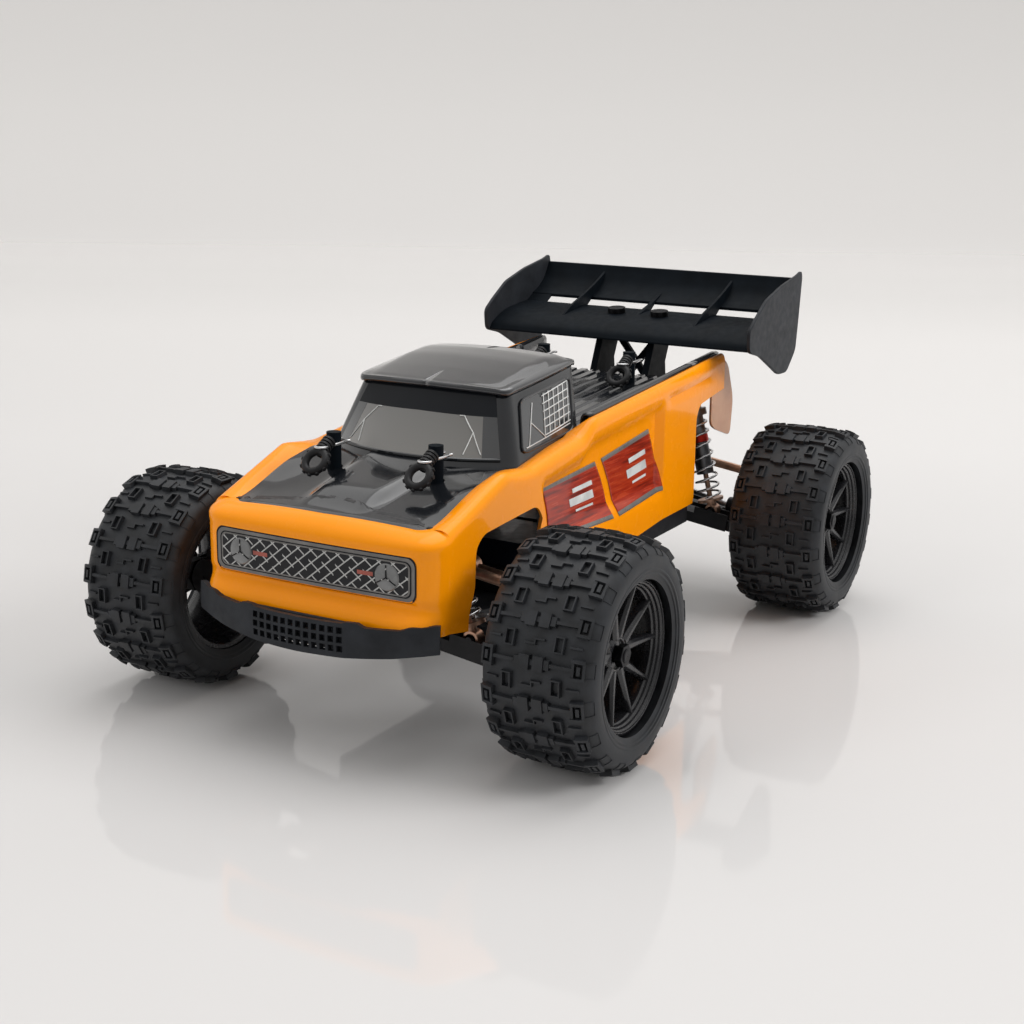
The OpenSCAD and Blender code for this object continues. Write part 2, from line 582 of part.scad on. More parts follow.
// Built along +Y from the inner pivot, then leaned down to the outer pivot.
module lower_arm(axle_x, side) {
  color([0.09, 0.09, 0.1]) on_side(side) translate([axle_x, arm_inner_y, arm_inner_z]) {
    rotate([-arm_lean, 0, 0]) {
      difference() {
        union() {
          translate([0, 0, -2.2]) linear_extrude(height = 4.4) polygon([[-arm_half_x, 1], [arm_half_x, 1],
            [arm_half_x, 28], [12, 33], [12, arm_len], [ear_in_x, arm_len], [ear_in_x, 33.5], [5.2, 24],
            [-5.2, 24], [-ear_in_x, 33.5], [-ear_in_x, arm_len], [-12, arm_len], [-12, 33], [-arm_half_x, 28]]);
          rod_x(3, -arm_half_x, arm_half_x);
          for (dx = [-12, ear_in_x]) translate([0, arm_len, 0]) rod_x(3, dx, dx + 2.6);
        }
        // Windows in the arm
        for (dx = [-11, -1.2]) translate([dx, 5, -4]) linear_extrude(height = 8)
          polygon([[0, 0], [5.4, 0], [5.4, 15], [0, 17]]);
        rod_x(pin_r + run_gap, -20, 20);
        // Room for the damper's foot
        block([shock_dx - 3, 19.5, -6], [shock_dx + 3, 33, 6]);
      }
      // Outer hinge pin, fixed in the ears
      translate([0, arm_len, 0]) rod_x(pin_r, -12.6, 12.6);
      // Rails beside the damper's foot, with its screw across them
      for (dx = [shock_dx - 4.4, shock_dx + 3])
        block([dx, 18, -2.2], [dx + 1.4 + (dx > shock_dx ? -0.9 : 0), 33.5, 5]);
    }
    translate([shock_dx - 4.6, eye_y - arm_inner_y, eye_z - arm_inner_z]) rod_x(1.2, 0, 8.2);
  }
}
module upper_link(axle_x, side) {
  color([0.09, 0.09, 0.1]) on_side(side) translate([axle_x, arm_inner_y, link_inner_z]) rotate([-arm_lean, 0, 0])
    difference() {
      union() {
        rod_x(3, -2.5, 2.5);
        translate([0, arm_len, 0]) rod_x(3, -2.5, 2.5);
        rod_y(1.8, 1, arm_len - 1);
      }
      rod_x(pin_r + run_gap, -5, 5);
      translate([0, arm_len, 0]) rod_x(pin_r + run_gap, -5, 5);
    }
}
// Ears for the upper link and boss for the lower pin, shared by both carriers.
module carrier_bosses() {
  translate([0, arm_outer_y, arm_outer_z]) rod_x(3.1, -9, 9);
  for (dx = [-5, 2.8]) {
    translate([dx, arm_outer_y, link_outer_z]) rod_x(3, 0, 2.2);
    block([dx, arm_outer_y - 3, 47], [dx + 2.2, arm_outer_y + 3, link_outer_z]);
  }
}
module front_carrier(side) {
  color([0.1, 0.1, 0.11]) on_side(side) translate([front_axle_x, 0, 0]) {
    difference() {
      union() {
        translate([0, 0, axle_z]) rod_y(9, 55, 61);
        carrier_bosses();
        // Arms above and below the knuckle
        block([-5, 55, 48.2], [5, kingpin_y + 3, 51.2]);
        block([-5, 55, 27.8], [5, kingpin_y + 3, 30.8]);
        block([-5, 55, 27.8], [5, 61, 34]);
      }
      translate([0, 0, axle_z]) rod_y(5.5, 50, 65);
      translate([0, arm_outer_y, arm_outer_z]) rod_x(pin_r + run_gap, -12, 12);
      translate([0, arm_outer_y, link_outer_z]) rod_x(pin_r, -12, 12);
      translate([0, kingpin_y, 0]) rod_z(1.5, 20, 60);
    }
    // Kingpins
    translate([0, kingpin_y, 0]) rod_z(1.5, 44.4, 51.2);
    translate([0, kingpin_y, 0]) rod_z(1.5, 27.8, 34.6);
    translate([0, arm_outer_y, link_outer_z]) rod_x(pin_r, -5.4, 5.4);
  }
}
module rear_carrier(side) {
  color([0.1, 0.1, 0.11]) on_side(side) translate([rear_axle_x, 0, 0]) {
    difference() {
      union() {
        translate([0, 0, axle_z]) rod_y(9, 55.4, 62);
        carrier_bosses();
        translate([0, 0, axle_z]) rod_y(6.4, 62, 76);
      }
      translate([0, 0, axle_z]) rod_y(4.6, 50, 74);
      translate([0, 0, axle_z]) rod_y(2.5 + run_gap, 73, 78);
      translate([0, arm_outer_y, arm_outer_z]) rod_x(pin_r + run_gap, -12, 12);
      translate([0, arm_outer_y, link_outer_z]) rod_x(pin_r, -12, 12);
    }
    // Hub bearings
    for (y = [59, 70]) translate([0, 0, axle_z]) difference() {
      rod_y(4.58, y, y + 3);
      rod_y(2.5 + run_gap, y - 1, y + 4);
    }
    translate([0, arm_outer_y, link_outer_z]) rod_x(pin_r, -5.4, 5.4);
  }
}
// Steering knuckle, with its arm and ball stud.
module knuckle(side) {
  color([0.1, 0.1, 0.11]) on_side(side) translate([front_axle_x, kingpin_y, 0]) {
    difference() {
      union() {
        block([-6, -3.7, 31.1], [6, 5, 47.9]);
        translate([0, 0, axle_z]) rod_y(6.4, 4, 9);
        block([-steer_arm, -2.4, 44.6], [-4, 2.4, 47.4]);
        translate([-steer_arm, 0, 0]) rod_z(2.4, 44.6, 47.4);
        translate([-steer_arm, 0, 0]) rod_z(0.9, 47, rod_outer_z - 1);
        translate([-steer_arm, 0, rod_outer_z]) sphere(r = ball_r);
      }
      translate([0, 0, axle_z]) rod_y(4.6, -5, 4.5);
      translate([0, 0, axle_z]) rod_y(2.5 + run_gap, 0, 12);
      rod_z(1.5 + run_gap, 30, 34.8);
      rod_z(1.5 + run_gap, 44.2, 49);
    }
  }
}
module knuckle_left() knuckle(1);
module knuckle_right() knuckle(-1);

// Dampers hang from the tower; each is built down its own axis from its top
// pivot and then leaned outwards.
module at_damper(axle_x, top_y, top_z, side)
  on_side(side) translate([axle_x + shock_dx, top_y, top_z])
    rotate([atan2(eye_y - top_y, top_z - eye_z), 0, 0]) children();
function damper_len(top_y, top_z) = sqrt(pow(eye_y - top_y, 2) + pow(top_z - eye_z, 2));
module shock_body(len) {
  body_end = len - 16.5;
  color("silver") difference() {
    union() {
      rod_x(2.9, -2.6, 2.6);
      rod_z(3.7, -body_end, -1.5);
      // Spring collar
      rod_z(5.6, -8.2, -5.4);
    }
    rod_x(pin_r + run_gap, -4, 4);
    rod_z(2.7, -body_end + 2, -4);
    rod_z(1.2, -body_end - 1, -body_end + 3);
  }
}
module shock_rod(len) {
  color([0.75, 0.5, 0.35]) {
    difference() {
      union() {
        rod_z(1.1, -len + 2, -len + 25);
        // Piston
        rod_z(2.62, -len + 23.5, -len + 25);
        // Foot and spring seat
        translate([0, 0, -len]) rod_x(2.9, -2.3, 2.3);
        rod_z(2, -len + 1.5, -len + 5);
        rod_z(5.6, -len + 4.2, -len + 5.4);
      }
      translate([0, 0, -len]) rod_x(2, -4, 4);
    }
  }
}
// Coil spring: rings of points swept up a helix.
spring_r = 4.8;
wire_r = 0.55;
ring_points = 5;
steps_per_turn = 10;
function helix_point(turn, height, a) = let (t = turn * 360)
  [(spring_r + wire_r * cos(a)) * cos(t), (spring_r + wire_r * cos(a)) * sin(t), height + wire_r * sin(a)];
module coil(z0, z1) {
  steps = spring_turns * steps_per_turn;
  points = [for (i = [0 : steps]) for (k = [0 : ring_points - 1])
    helix_point(i / steps_per_turn, z0 + (z1 - z0) * i / steps, -k * 360 / ring_points)];
  sides = [for (i = [0 : steps - 1]) for (k = [0 : ring_points - 1]) for (half = [0, 1])
    let (n = (k + 1) % ring_points, a = i * ring_points, b = a + ring_points)
    half == 0 ? [a + k, a + n, b + n] : [a + k, b + n, b + k]];
  ends = [[for (k = [ring_points - 1 : -1 : 0]) k], [for (k = [0 : ring_points - 1]) steps * ring_points + k]];
  polyhedron(points = points, faces = concat(sides, ends));
}
module spring(axle_x, top_y, top_z, side) at_damper(axle_x, top_y, top_z, side) {
  len = damper_len(top_y, top_z);
  coil(-len + 5.4 + wire_r + 0.1, -8.2 - wire_r - 0.1);
}
module springs() color("silver") for (side = [-1, 1]) {
  spring(front_axle_x, front_damper_y, front_damper_z, side);
  spring(rear_axle_x, rear_damper_y, rear_damper_z, side);
}

// ---- Steering -----------------------------------------------------------
module servo_horn() color([0.1, 0.1, 0.11]) translate([horn_x, horn_y, 0]) difference() {
  translate([0, 0, 53.2]) linear_extrude(height = 1.8) bar_outline([0, 0], [-steer_arm, 0], 3.6, 2.6);
  rod_z(1.9 + run_gap, 50, 60);
  translate([-steer_arm, 0, 0]) rod_z(1 + run_gap, 50, 60);
}
module center_link() color([0.1, 0.1, 0.11]) {
  z0 = link_z - 1;
  translate([0, 0, z0]) linear_extrude(height = 2) {
    bar_outline([74, -rod_inner_y + 6], [74, rod_inner_y - 6], 2.2, 2.2);
    bar_outline([horn_x - steer_arm, horn_y], [70, horn_y + 6], 2.4, 2.2);
    bar_outline([70, horn_y + 6], [74, horn_y + 6], 2.2, 2.2);
    for (side = [-1, 1])
      bar_outline([74, side * (rod_inner_y - 6)], [tie_x - 1, side * (rod_inner_y - 6)], 2.2, 2.2);
  }
  translate([horn_x - steer_arm, horn_y, 0]) rod_z(1, 52.8, z0 + 0.1);
  for (side = [-1, 1]) on_side(side) {
    translate([tie_x, 0, link_z]) rod_y(0.9, rod_inner_y - 6, rod_inner_y);
    translate([tie_x, rod_inner_y, link_z]) sphere(r = ball_r);
  }
}
module tie_rod(side) {
  color([0.75, 0.5, 0.35]) on_side(side) translate([tie_x, rod_inner_y, link_z]) rotate([-arm_lean, 0, 0])
    difference() {
      union() {
        rod_y(1.3, 2, arm_len - 2);
        rod_x(3.4, -1.9, 1.9);
        translate([0, arm_len, 0]) rod_z(3.4, -1.9, 1.9);
      }
      sphere(r = ball_r + run_gap);
      translate([0, arm_len, 0]) sphere(r = ball_r + run_gap);
      // Flared mouths that the ball studs come through
      rotate([90, 0, 0]) cylinder(r1 = 1.7, r2 = 2.7, h = 5);
      translate([0, arm_len, 0]) rotate([180, 0, 0]) cylinder(r1 = 1.7, r2 = 2.7, h = 5);
    }
}
module tie_rod_left() tie_rod(1);
module tie_rod_right() tie_rod(-1);

chassis_tub();
front_gearbox();
rear_gearbox();
front_shock_tower();
rear_shock_tower();
front_bumper();
motor();
servo();
esc_receiver();
battery();
body_posts();
wing_mount();
rear_wing();
hinge_pins();
screws();
body_shell();
springs();
body_clips();
front_diff();
rear_diff();
center_shaft();
motor_pinion();
servo_horn();
center_link();
tie_rod_left();
tie_rod_right();
knuckle_left();
knuckle_right();
tyre(front_axle_x, 1);  // tyre_fl
tyre(front_axle_x, -1);  // tyre_fr
tyre(rear_axle_x, 1);  // tyre_rl
tyre(rear_axle_x, -1);  // tyre_rr
rim(front_axle_x, 65.4, 1);  // rim_fl
rim(front_axle_x, 65.4, -1);  // rim_fr
rim(rear_axle_x, 48.8, 1);  // rim_rl
rim(rear_axle_x, 48.8, -1);  // rim_rr
lower_arm(front_axle_x, 1);  // lower_arm_fl
lower_arm(front_axle_x, -1);  // lower_arm_fr
lower_arm(rear_axle_x, 1);  // lower_arm_rl
lower_arm(rear_axle_x, -1);  // lower_arm_rr
upper_link(front_axle_x, 1);  // upper_link_fl
upper_link(front_axle_x, -1);  // upper_link_fr
upper_link(rear_axle_x, 1);  // upper_link_rl
upper_link(rear_axle_x, -1);  // upper_link_rr
front_carrier(1);  // hub_carrier_fl
front_carrier(-1);  // hub_carrier_fr
rear_carrier(1);  // hub_carrier_rl
rear_carrier(-1);  // hub_carrier_rr
at_damper(front_axle_x, front_damper_y, front_damper_z, 1)  // shock_body_fl
  shock_body(damper_len(front_damper_y, front_damper_z));
at_damper(front_axle_x, front_damper_y, front_damper_z, -1)  // shock_body_fr
  shock_body(damper_len(front_damper_y, front_damper_z));
at_damper(rear_axle_x, rear_damper_y, rear_damper_z, 1)  // shock_body_rl
  shock_body(damper_len(rear_damper_y, rear_damper_z));
at_damper(rear_axle_x, rear_damper_y, rear_damper_z, -1)  // shock_body_rr
  shock_body(damper_len(rear_damper_y, rear_damper_z));
at_damper(front_axle_x, front_damper_y, front_damper_z, 1)  // shock_rod_fl
  shock_rod(damper_len(front_damper_y, front_damper_z));
at_damper(front_axle_x, front_damper_y, front_damper_z, -1)  // shock_rod_fr
  shock_rod(damper_len(front_damper_y, front_damper_z));
at_damper(rear_axle_x, rear_damper_y, rear_damper_z, 1)  // shock_rod_rl
  shock_rod(damper_len(rear_damper_y, rear_damper_z));
at_damper(rear_axle_x, rear_damper_y, rear_damper_z, -1)  // shock_rod_rr
  shock_rod(damper_len(rear_damper_y, rear_damper_z));
dogbone(front_axle_x, kingpin_y, 1);  // dogbone_fl
dogbone(front_axle_x, kingpin_y, -1);  // dogbone_fr
dogbone(rear_axle_x, 51, 1);  // dogbone_rl
dogbone(rear_axle_x, 51, -1);  // dogbone_rr
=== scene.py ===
"""Looks for the radio-controlled buggy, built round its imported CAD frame.

Lengths are in millimetres and MM turns them into the frame's metres.
+X is forward, +Y the vehicle's left, +Z up.
"""

import math

import bmesh
import bpy
from mathutils import Matrix, Vector


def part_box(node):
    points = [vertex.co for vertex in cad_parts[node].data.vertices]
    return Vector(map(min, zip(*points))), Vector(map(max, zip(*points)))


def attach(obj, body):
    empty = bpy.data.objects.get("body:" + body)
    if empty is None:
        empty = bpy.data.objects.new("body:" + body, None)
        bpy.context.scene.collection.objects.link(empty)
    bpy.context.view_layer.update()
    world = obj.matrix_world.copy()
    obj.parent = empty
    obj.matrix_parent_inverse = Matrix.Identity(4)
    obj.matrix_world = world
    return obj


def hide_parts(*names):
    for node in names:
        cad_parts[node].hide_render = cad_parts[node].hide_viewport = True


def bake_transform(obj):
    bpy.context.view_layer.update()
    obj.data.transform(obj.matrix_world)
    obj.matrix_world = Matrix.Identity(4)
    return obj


MM = 0.001
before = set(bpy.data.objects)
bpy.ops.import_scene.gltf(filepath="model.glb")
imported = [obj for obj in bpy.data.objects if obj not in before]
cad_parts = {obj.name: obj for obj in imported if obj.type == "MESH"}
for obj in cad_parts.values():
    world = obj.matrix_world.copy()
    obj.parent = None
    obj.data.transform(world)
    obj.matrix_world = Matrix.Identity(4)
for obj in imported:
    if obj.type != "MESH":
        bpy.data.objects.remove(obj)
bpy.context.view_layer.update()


def node_box(node):
    """Lowest and highest corner of a CAD node, in millimetres."""
    low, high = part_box(node)
    return low / MM, high / MM


# ---- Driving sizes, taken from the frame --------------------------------
TYRE_LOW, TYRE_HIGH = node_box("tyre_fl")
REAR_LOW, REAR_HIGH = node_box("tyre_rl")
FRONT_AXLE_X = (TYRE_LOW.x + TYRE_HIGH.x) / 2
REAR_AXLE_X = (REAR_LOW.x + REAR_HIGH.x) / 2
TYRE_R = (TYRE_HIGH.z - TYRE_LOW.z) / 2
AXLE_Z = TYRE_LOW.z + TYRE_R
TYRE_MID_Y = (TYRE_LOW.y + TYRE_HIGH.y) / 2
RIM_R = (node_box("rim_fl")[1].z - node_box("rim_fl")[0].z) / 2
SIDE_Y = node_box("body_shell")[1].y
WING_HIGH = node_box("rear_wing")[1]
BUMPER_FRONT = node_box("front_bumper")[1].x
# The shell's ends and wall
TAIL_X = -99.5
NOSE_X = 133.8
WALL = 1.0
# Body posts on the left, at the height of their clips
FRONT_POSTS = (92, 21, 95.5)
REAR_POSTS = (-60, 20, 107.5)
SIDES = ((1, "left"), (-1, "right"))
CORNERS = ("fl", "fr", "rl", "rr")


# ---- Small helpers ------------------------------------------------------
def mix(a, b, t):
    return a + (b - a) * t


def ease(x, low, high):
    """0 below low, 1 above high and smooth between them; it falls if high is below low."""
    t = min(1.0, max(0.0, (x - low) / (high - low)))
    return t * t * (3 - 2 * t)


def along(x, points):
    """Height of a broken line at x, given its corners in rising x."""
    if x <= points[0][0]:
        return points[0][1]
    for (x0, y0), (x1, y1) in zip(points, points[1:]):
        if x <= x1:
            return mix(y0, y1, (x - x0) / (x1 - x0))
    return points[-1][1]


def bezier(p0, p1, p2, p3, t):
    s = 1 - t
    return p0 * s**3 + p1 * (3 * s * s * t) + p2 * (3 * s * t * t) + p3 * t**3


def steps(low, high, count):
    return [mix(low, high, i / count) for i in range(count + 1)]


def turns(count):
    """Angles spread evenly round a circle."""
    return [2 * math.pi * i / count for i in range(count)]


def spline(points, at):
    """A smooth curve through points, at a place counted in points from the first."""
    last = len(points) - 1
    i = min(int(at), last - 1)
    t = at - i
    p0, p1, p2, p3 = (Vector(points[min(max(k, 0), last)]) for k in (i - 1, i, i + 1, i + 2))
    bend = (2 * p0 - 5 * p1 + 4 * p2 - p3) * t**2 + (3 * p1 - p0 - 3 * p2 + p3) * t**3
    return 0.5 * (2 * p1 + (p2 - p0) * t + bend)


def curve_points(corners, count):
    """Points of a smooth curve through a few points, with count steps from each to the next."""
    last = len(corners) - 1
    return [tuple(spline(corners, at)) for at in steps(0, last, last * count)]


def rounded(corners, radius, segments=5):
    """A closed outline with each corner turned into an arc."""
    made = []
    count = len(corners)
    for i in range(count):
        here = Vector(corners[i])
        before = Vector(corners[i - 1]) - here
        after = Vector(corners[(i + 1) % count]) - here
        reach = min(radius, before.length * 0.45, after.length * 0.45)
        start = here + before.normalized() * reach
        end = here + after.normalized() * reach
        for t in steps(0, 1, segments):
            made.append(start * (1 - t) ** 2 + here * (2 * t * (1 - t)) + end * t * t)
    return [tuple(p) for p in made]


def piece(name, part, body, finishes, replaces=(), face_finish=None, smooth=35):
    """One object made from points in millimetres and faces, riding on a CAD body."""
    verts, faces = part
    mesh = bpy.data.meshes.new(name)
    mesh.from_pydata([Vector(v) * MM for v in verts], [], faces)
    work = bmesh.new()
    work.from_mesh(mesh)
    if face_finish:
        work.faces.ensure_lookup_table()
        for face, index in zip(work.faces, face_finish):
            face.material_index = index
    bmesh.ops.remove_doubles(work, verts=work.verts, dist=0.002 * MM)
    bmesh.ops.recalc_face_normals(work, faces=work.faces)
    work.to_mesh(mesh)
    work.free()
    obj = bpy.data.objects.new(name, mesh)
    bpy.context.scene.collection.objects.link(obj)
    for finish in finishes:
        mesh.materials.append(finish)
    shade(obj, smooth)
    if body:
        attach(obj, body)
    if replaces:
        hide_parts(*replaces)
    return obj


def shade(obj, angle):
    """Smooth shading, but for edges sharper than the angle."""
    obj.data.polygons.foreach_set("use_smooth", [True] * len(obj.data.polygons))
    obj.data.set_sharp_from_angle(angle=math.radians(angle))


def grid_faces(rows, columns, closed=False):
    """Quads of a grid of points stored row by row; closed joins the last column to the first."""
    made = []
    for r in range(rows - 1):
        for c in range(columns if closed else columns - 1):
            d = (c + 1) % columns
            made.append((r * columns + c, r * columns + d, (r + 1) * columns + d, (r + 1) * columns + c))
    return made


def sheet_of(rows, closed=False):
    """Points and quads of a list of equally long rows of points."""
    verts = [p for row in rows for p in row]
    return verts, grid_faces(len(rows), len(rows[0]), closed)


def prism(outline, axis, low, high):
    """Points and faces of an outline, given on the other two axes in order, pushed along an axis."""
    def place(p, h):
        if axis == "x":
            return (h, p[0], p[1])
        if axis == "y":
            return (p[0], h, p[1])
        return (p[0], p[1], h)

    count = len(outline)
    verts = [place(p, low) for p in outline] + [place(p, high) for p in outline]
    faces = [tuple(range(count)), tuple(range(2 * count - 1, count - 1, -1))]
    faces += [(i, (i + 1) % count, count + (i + 1) % count, count + i) for i in range(count)]
    return verts, faces


def joined(parts):
    """Several (points, faces) as one."""
    verts, faces = [], []
    for part_verts, part_faces in parts:
        base = len(verts)
        verts += list(part_verts)
        faces += [tuple(base + i for i in face) for face in part_faces]
    return verts, faces


def box_part(low, high):
    x0, y0, z0 = low
    x1, y1, z1 = high
    return prism([(x0, y0), (x1, y0), (x1, y1), (x0, y1)], "z", z0, z1)


def moved(part, matrix):
    return [matrix @ Vector(v) for v in part[0]], part[1]


def mirrored(part):
    return [(v[0], -v[1], v[2]) for v in part[0]], [tuple(reversed(f)) for f in part[1]]


def both_sides(part):
    """A left half and its mirror image."""
    return joined([part, mirrored(part)])


def spun(profile, segments):
    """A closed profile of (y, radius) turned about the Y axis."""
    rows = [[(r * math.cos(a), y, r * math.sin(a)) for a in turns(segments)] for y, r in profile]
    return sheet_of(rows + rows[:1], closed=True)


def tube(path, radius, sides=8, closed=False):
    """A round tube along a list of points."""
    points = [Vector(p) for p in path]
    count = len(points)
    rows = []
    normal = None
    for i, p in enumerate(points):
        if closed:
            ahead, behind = points[(i + 1) % count], points[i - 1]
        else:
            ahead, behind = points[min(i + 1, count - 1)], points[max(i - 1, 0)]
        tangent = (ahead - behind).normalized()
        if normal is None:
            normal = tangent.orthogonal().normalized()
        normal = (normal - tangent * normal.dot(tangent)).normalized()
        other = tangent.cross(normal)
        rows.append([p + (normal * math.cos(a) + other * math.sin(a)) * radius for a in turns(sides)])
    if closed:
        rows.append(rows[0])
        return sheet_of(rows, closed=True)
    verts, faces = sheet_of(rows, closed=True)
    last = (count - 1) * sides
    return verts, faces + [tuple(range(sides)), tuple(range(last + sides - 1, last - 1, -1))]


def soften(obj, width, segments=2, angle=30):
    """Rounds a piece's edges."""
    bevel = obj.modifiers.new("Rounded edges", "BEVEL")
    bevel.width = width * MM
    bevel.segments = segments
    bevel.limit_method = "ANGLE"
    bevel.angle_limit = math.radians(angle)
    bevel.harden_normals = True


def settle(obj):
    """Applies a piece's modifiers."""
    graph = bpy.context.evaluated_depsgraph_get()
    made = bpy.data.meshes.new_from_object(obj.evaluated_get(graph))
    obj.modifiers.clear()
    obj.data = made


def cut(obj, parts):
    """Cuts closed solids out of a piece."""
    for part in parts:
        tool = piece("cutter", part, None, [])
        knife = obj.modifiers.new("Cut", "BOOLEAN")
        knife.operation = "DIFFERENCE"
        knife.solver = "EXACT"
        knife.object = tool
        settle(obj)
        bpy.data.objects.remove(tool)


def thicken(obj, thickness, inner_finish=0):
    """Gives a sheet a wall on its inner side, with its own finish there."""
    wall = obj.modifiers.new("Wall", "SOLIDIFY")
    wall.thickness = thickness * MM
    wall.offset = -1
    wall.material_offset = inner_finish
    wall.use_even_offset = False
    settle(obj)


# ---- Materials ----------------------------------------------------------
class Field:
    """A number that varies over a surface. Arithmetic on it adds Math nodes."""

    def __init__(self, tree, socket):
        self.tree = tree
        self.socket = socket

    def node(self, operation, *others):
        made = self.tree.nodes.new("ShaderNodeMath")
        made.operation = operation
        self.tree.links.new(self.socket, made.inputs[0])
        for i, other in enumerate(others):
            if isinstance(other, Field):
                self.tree.links.new(other.socket, made.inputs[i + 1])
            else:
                made.inputs[i + 1].default_value = other
        return Field(self.tree, made.outputs[0])

    def __add__(self, other):
        return self.node("ADD", other)

    def __sub__(self, other):
        return self.node("SUBTRACT", other)

    def __mul__(self, other):
        return self.node("MULTIPLY", other)

    def near(self, value, width):
        """1 within width of value, else 0."""
        return self.node("COMPARE", value, width)

    def over(self, value):
        return self.node("GREATER_THAN", value)

    def stripes(self, pitch):
        """How far along its stripe a point lies, from 0 to pitch."""
        return self.node("FLOORED_MODULO", pitch)

    def most(self, other):
        return self.node("MAXIMUM", other)


class Finish:
    """A material in the making: its nodes, its shader and places on the object in millimetres."""

    def __init__(self, name):
        self.material = bpy.data.materials.new(name)
        self.material.use_nodes = True
        self.tree = self.material.node_tree
        self.shader = self.tree.nodes["Principled BSDF"]
        self.place = self.tree.nodes.new("ShaderNodeTexCoord").outputs["Object"]
        self.height = None

    def axis(self, name):
        split = self.tree.nodes.new("ShaderNodeSeparateXYZ")
        self.tree.links.new(self.place, split.inputs[0])
        return Field(self.tree, split.outputs[name]) * (1 / MM)

    def noise(self, size, detail=4, stretch=(1, 1, 1)):
        """Noise with features of about the given size in millimetres."""
        mapping = self.tree.nodes.new("ShaderNodeMapping")
        mapping.inputs["Scale"].default_value = [s / (size * MM) for s in stretch]
        self.tree.links.new(self.place, mapping.inputs[0])
        made = self.tree.nodes.new("ShaderNodeTexNoise")
        made.inputs["Scale"].default_value = 1
        made.inputs["Detail"].default_value = detail
        self.tree.links.new(mapping.outputs[0], made.inputs["Vector"])
        return Field(self.tree, made.outputs["Fac"])

    def ramp(self, field, *stops):
        """A colour picked by a field from (place, colour) stops."""
        made = self.tree.nodes.new("ShaderNodeValToRGB")
        for i, (at, colour) in enumerate(stops):
            element = made.color_ramp.elements[i] if i < 2 else made.color_ramp.elements.new(at)
            element.position = at
            element.color = (*colour, 1)
        self.tree.links.new(field.socket, made.inputs[0])
        return made.outputs[0]

    def blend(self, mask, below, above):
        """Two colours, with the second where the mask is 1."""
        made = self.tree.nodes.new("ShaderNodeMix")
        made.data_type = "RGBA"
        self.tree.links.new(mask.socket, made.inputs["Factor"])
        for socket, colour in ((made.inputs[6], below), (made.inputs[7], above)):
            if isinstance(colour, tuple):
                socket.default_value = (*colour, 1)
            else:
                self.tree.links.new(colour, socket)
        return made.outputs[2]

    def colour(self, socket):
        self.tree.links.new(socket, self.shader.inputs["Base Color"])

    def roughness(self, field, low, high):
        made = self.tree.nodes.new("ShaderNodeMapRange")
        made.inputs["From Min"].default_value = 0.3
        made.inputs["From Max"].default_value = 0.7
        made.inputs["To Min"].default_value = low
        made.inputs["To Max"].default_value = high
        self.tree.links.new(field.socket, made.inputs["Value"])
        self.tree.links.new(made.outputs[0], self.shader.inputs["Roughness"])

    def bump(self, field, depth):
        """Adds relief of the given depth in millimetres."""
        made = self.tree.nodes.new("ShaderNodeBump")
        made.inputs["Distance"].default_value = depth * MM
        made.inputs["Strength"].default_value = 1
        self.tree.links.new(field.socket, made.inputs["Height"])
        if self.height:
            self.tree.links.new(self.height, made.inputs["Normal"])
        self.height = made.outputs[0]
        self.tree.links.new(self.height, self.shader.inputs["Normal"])

    def gloss(self, coat=0.0, coat_roughness=0.05, metallic=0.0, specular=0.5):
        self.shader.inputs["Coat Weight"].default_value = coat
        self.shader.inputs["Coat Roughness"].default_value = coat_roughness
        self.shader.inputs["Metallic"].default_value = metallic
        self.shader.inputs["Specular IOR Level"].default_value = specular


def shaded(colour, share):
    return tuple(c * share for c in colour)


def moulded(name, colour, rough, grain=0.5, depth=0.02, spread=0.25, coat=0.0, metallic=0.0, specular=0.25):
    """Plastic or metal: mottled colour, uneven gloss and a fine surface grain."""
    made = Finish(name)
    cloud = made.noise(9)
    made.colour(made.ramp(cloud, (0.3, shaded(colour, 1 - spread)), (0.7, shaded(colour, 1 + spread))))
    made.roughness(made.noise(3), rough - 0.06, rough + 0.06)
    made.bump(made.noise(grain, 2), depth)
    made.gloss(coat=coat, metallic=metallic, specular=specular)
    return made.material


AMBER = (0.95, 0.3, 0.001)
INK = (0.008, 0.009, 0.011)


def shell_paint():
    """Paint behind clear plastic: deep colour under a smooth clear skin."""
    made = Finish("shell_paint")
    made.colour(made.ramp(made.noise(40, 3), (0.3, shaded(AMBER, 0.98)), (0.7, AMBER)))
    made.roughness(made.noise(6), 0.22, 0.3)
    made.bump(made.noise(25, 1), 0.012)
    made.gloss(coat=0.35, coat_roughness=0.03, specular=0.08)
    return made.material


def gloss_black(name, colour=INK, coat=1.0):
    """Black paint behind clear plastic."""
    made = Finish(name)
    made.colour(made.ramp(made.noise(30), (0.3, shaded(colour, 0.8)), (0.7, shaded(colour, 1.3))))
    made.roughness(made.noise(8), 0.12, 0.2)
    made.bump(made.noise(25, 1), 0.012)
    made.gloss(coat=coat, coat_roughness=0.02, specular=0.5 * coat)
    return made.material


def shell_inside():
    """The back of the shell, printed with a fine diagonal weave."""
    made = Finish("shell_inside")
    slant = (made.axis("X") + made.axis("Z")).stripes(1.6).over(0.8)
    other = (made.axis("X") - made.axis("Z")).stripes(1.6).over(0.8)
    weave = slant * other
    made.colour(made.blend(weave, (0.006, 0.006, 0.007), (0.035, 0.032, 0.034)))
    made.roughness(made.noise(2), 0.4, 0.6)
    made.bump(weave, 0.08)
    return made.material


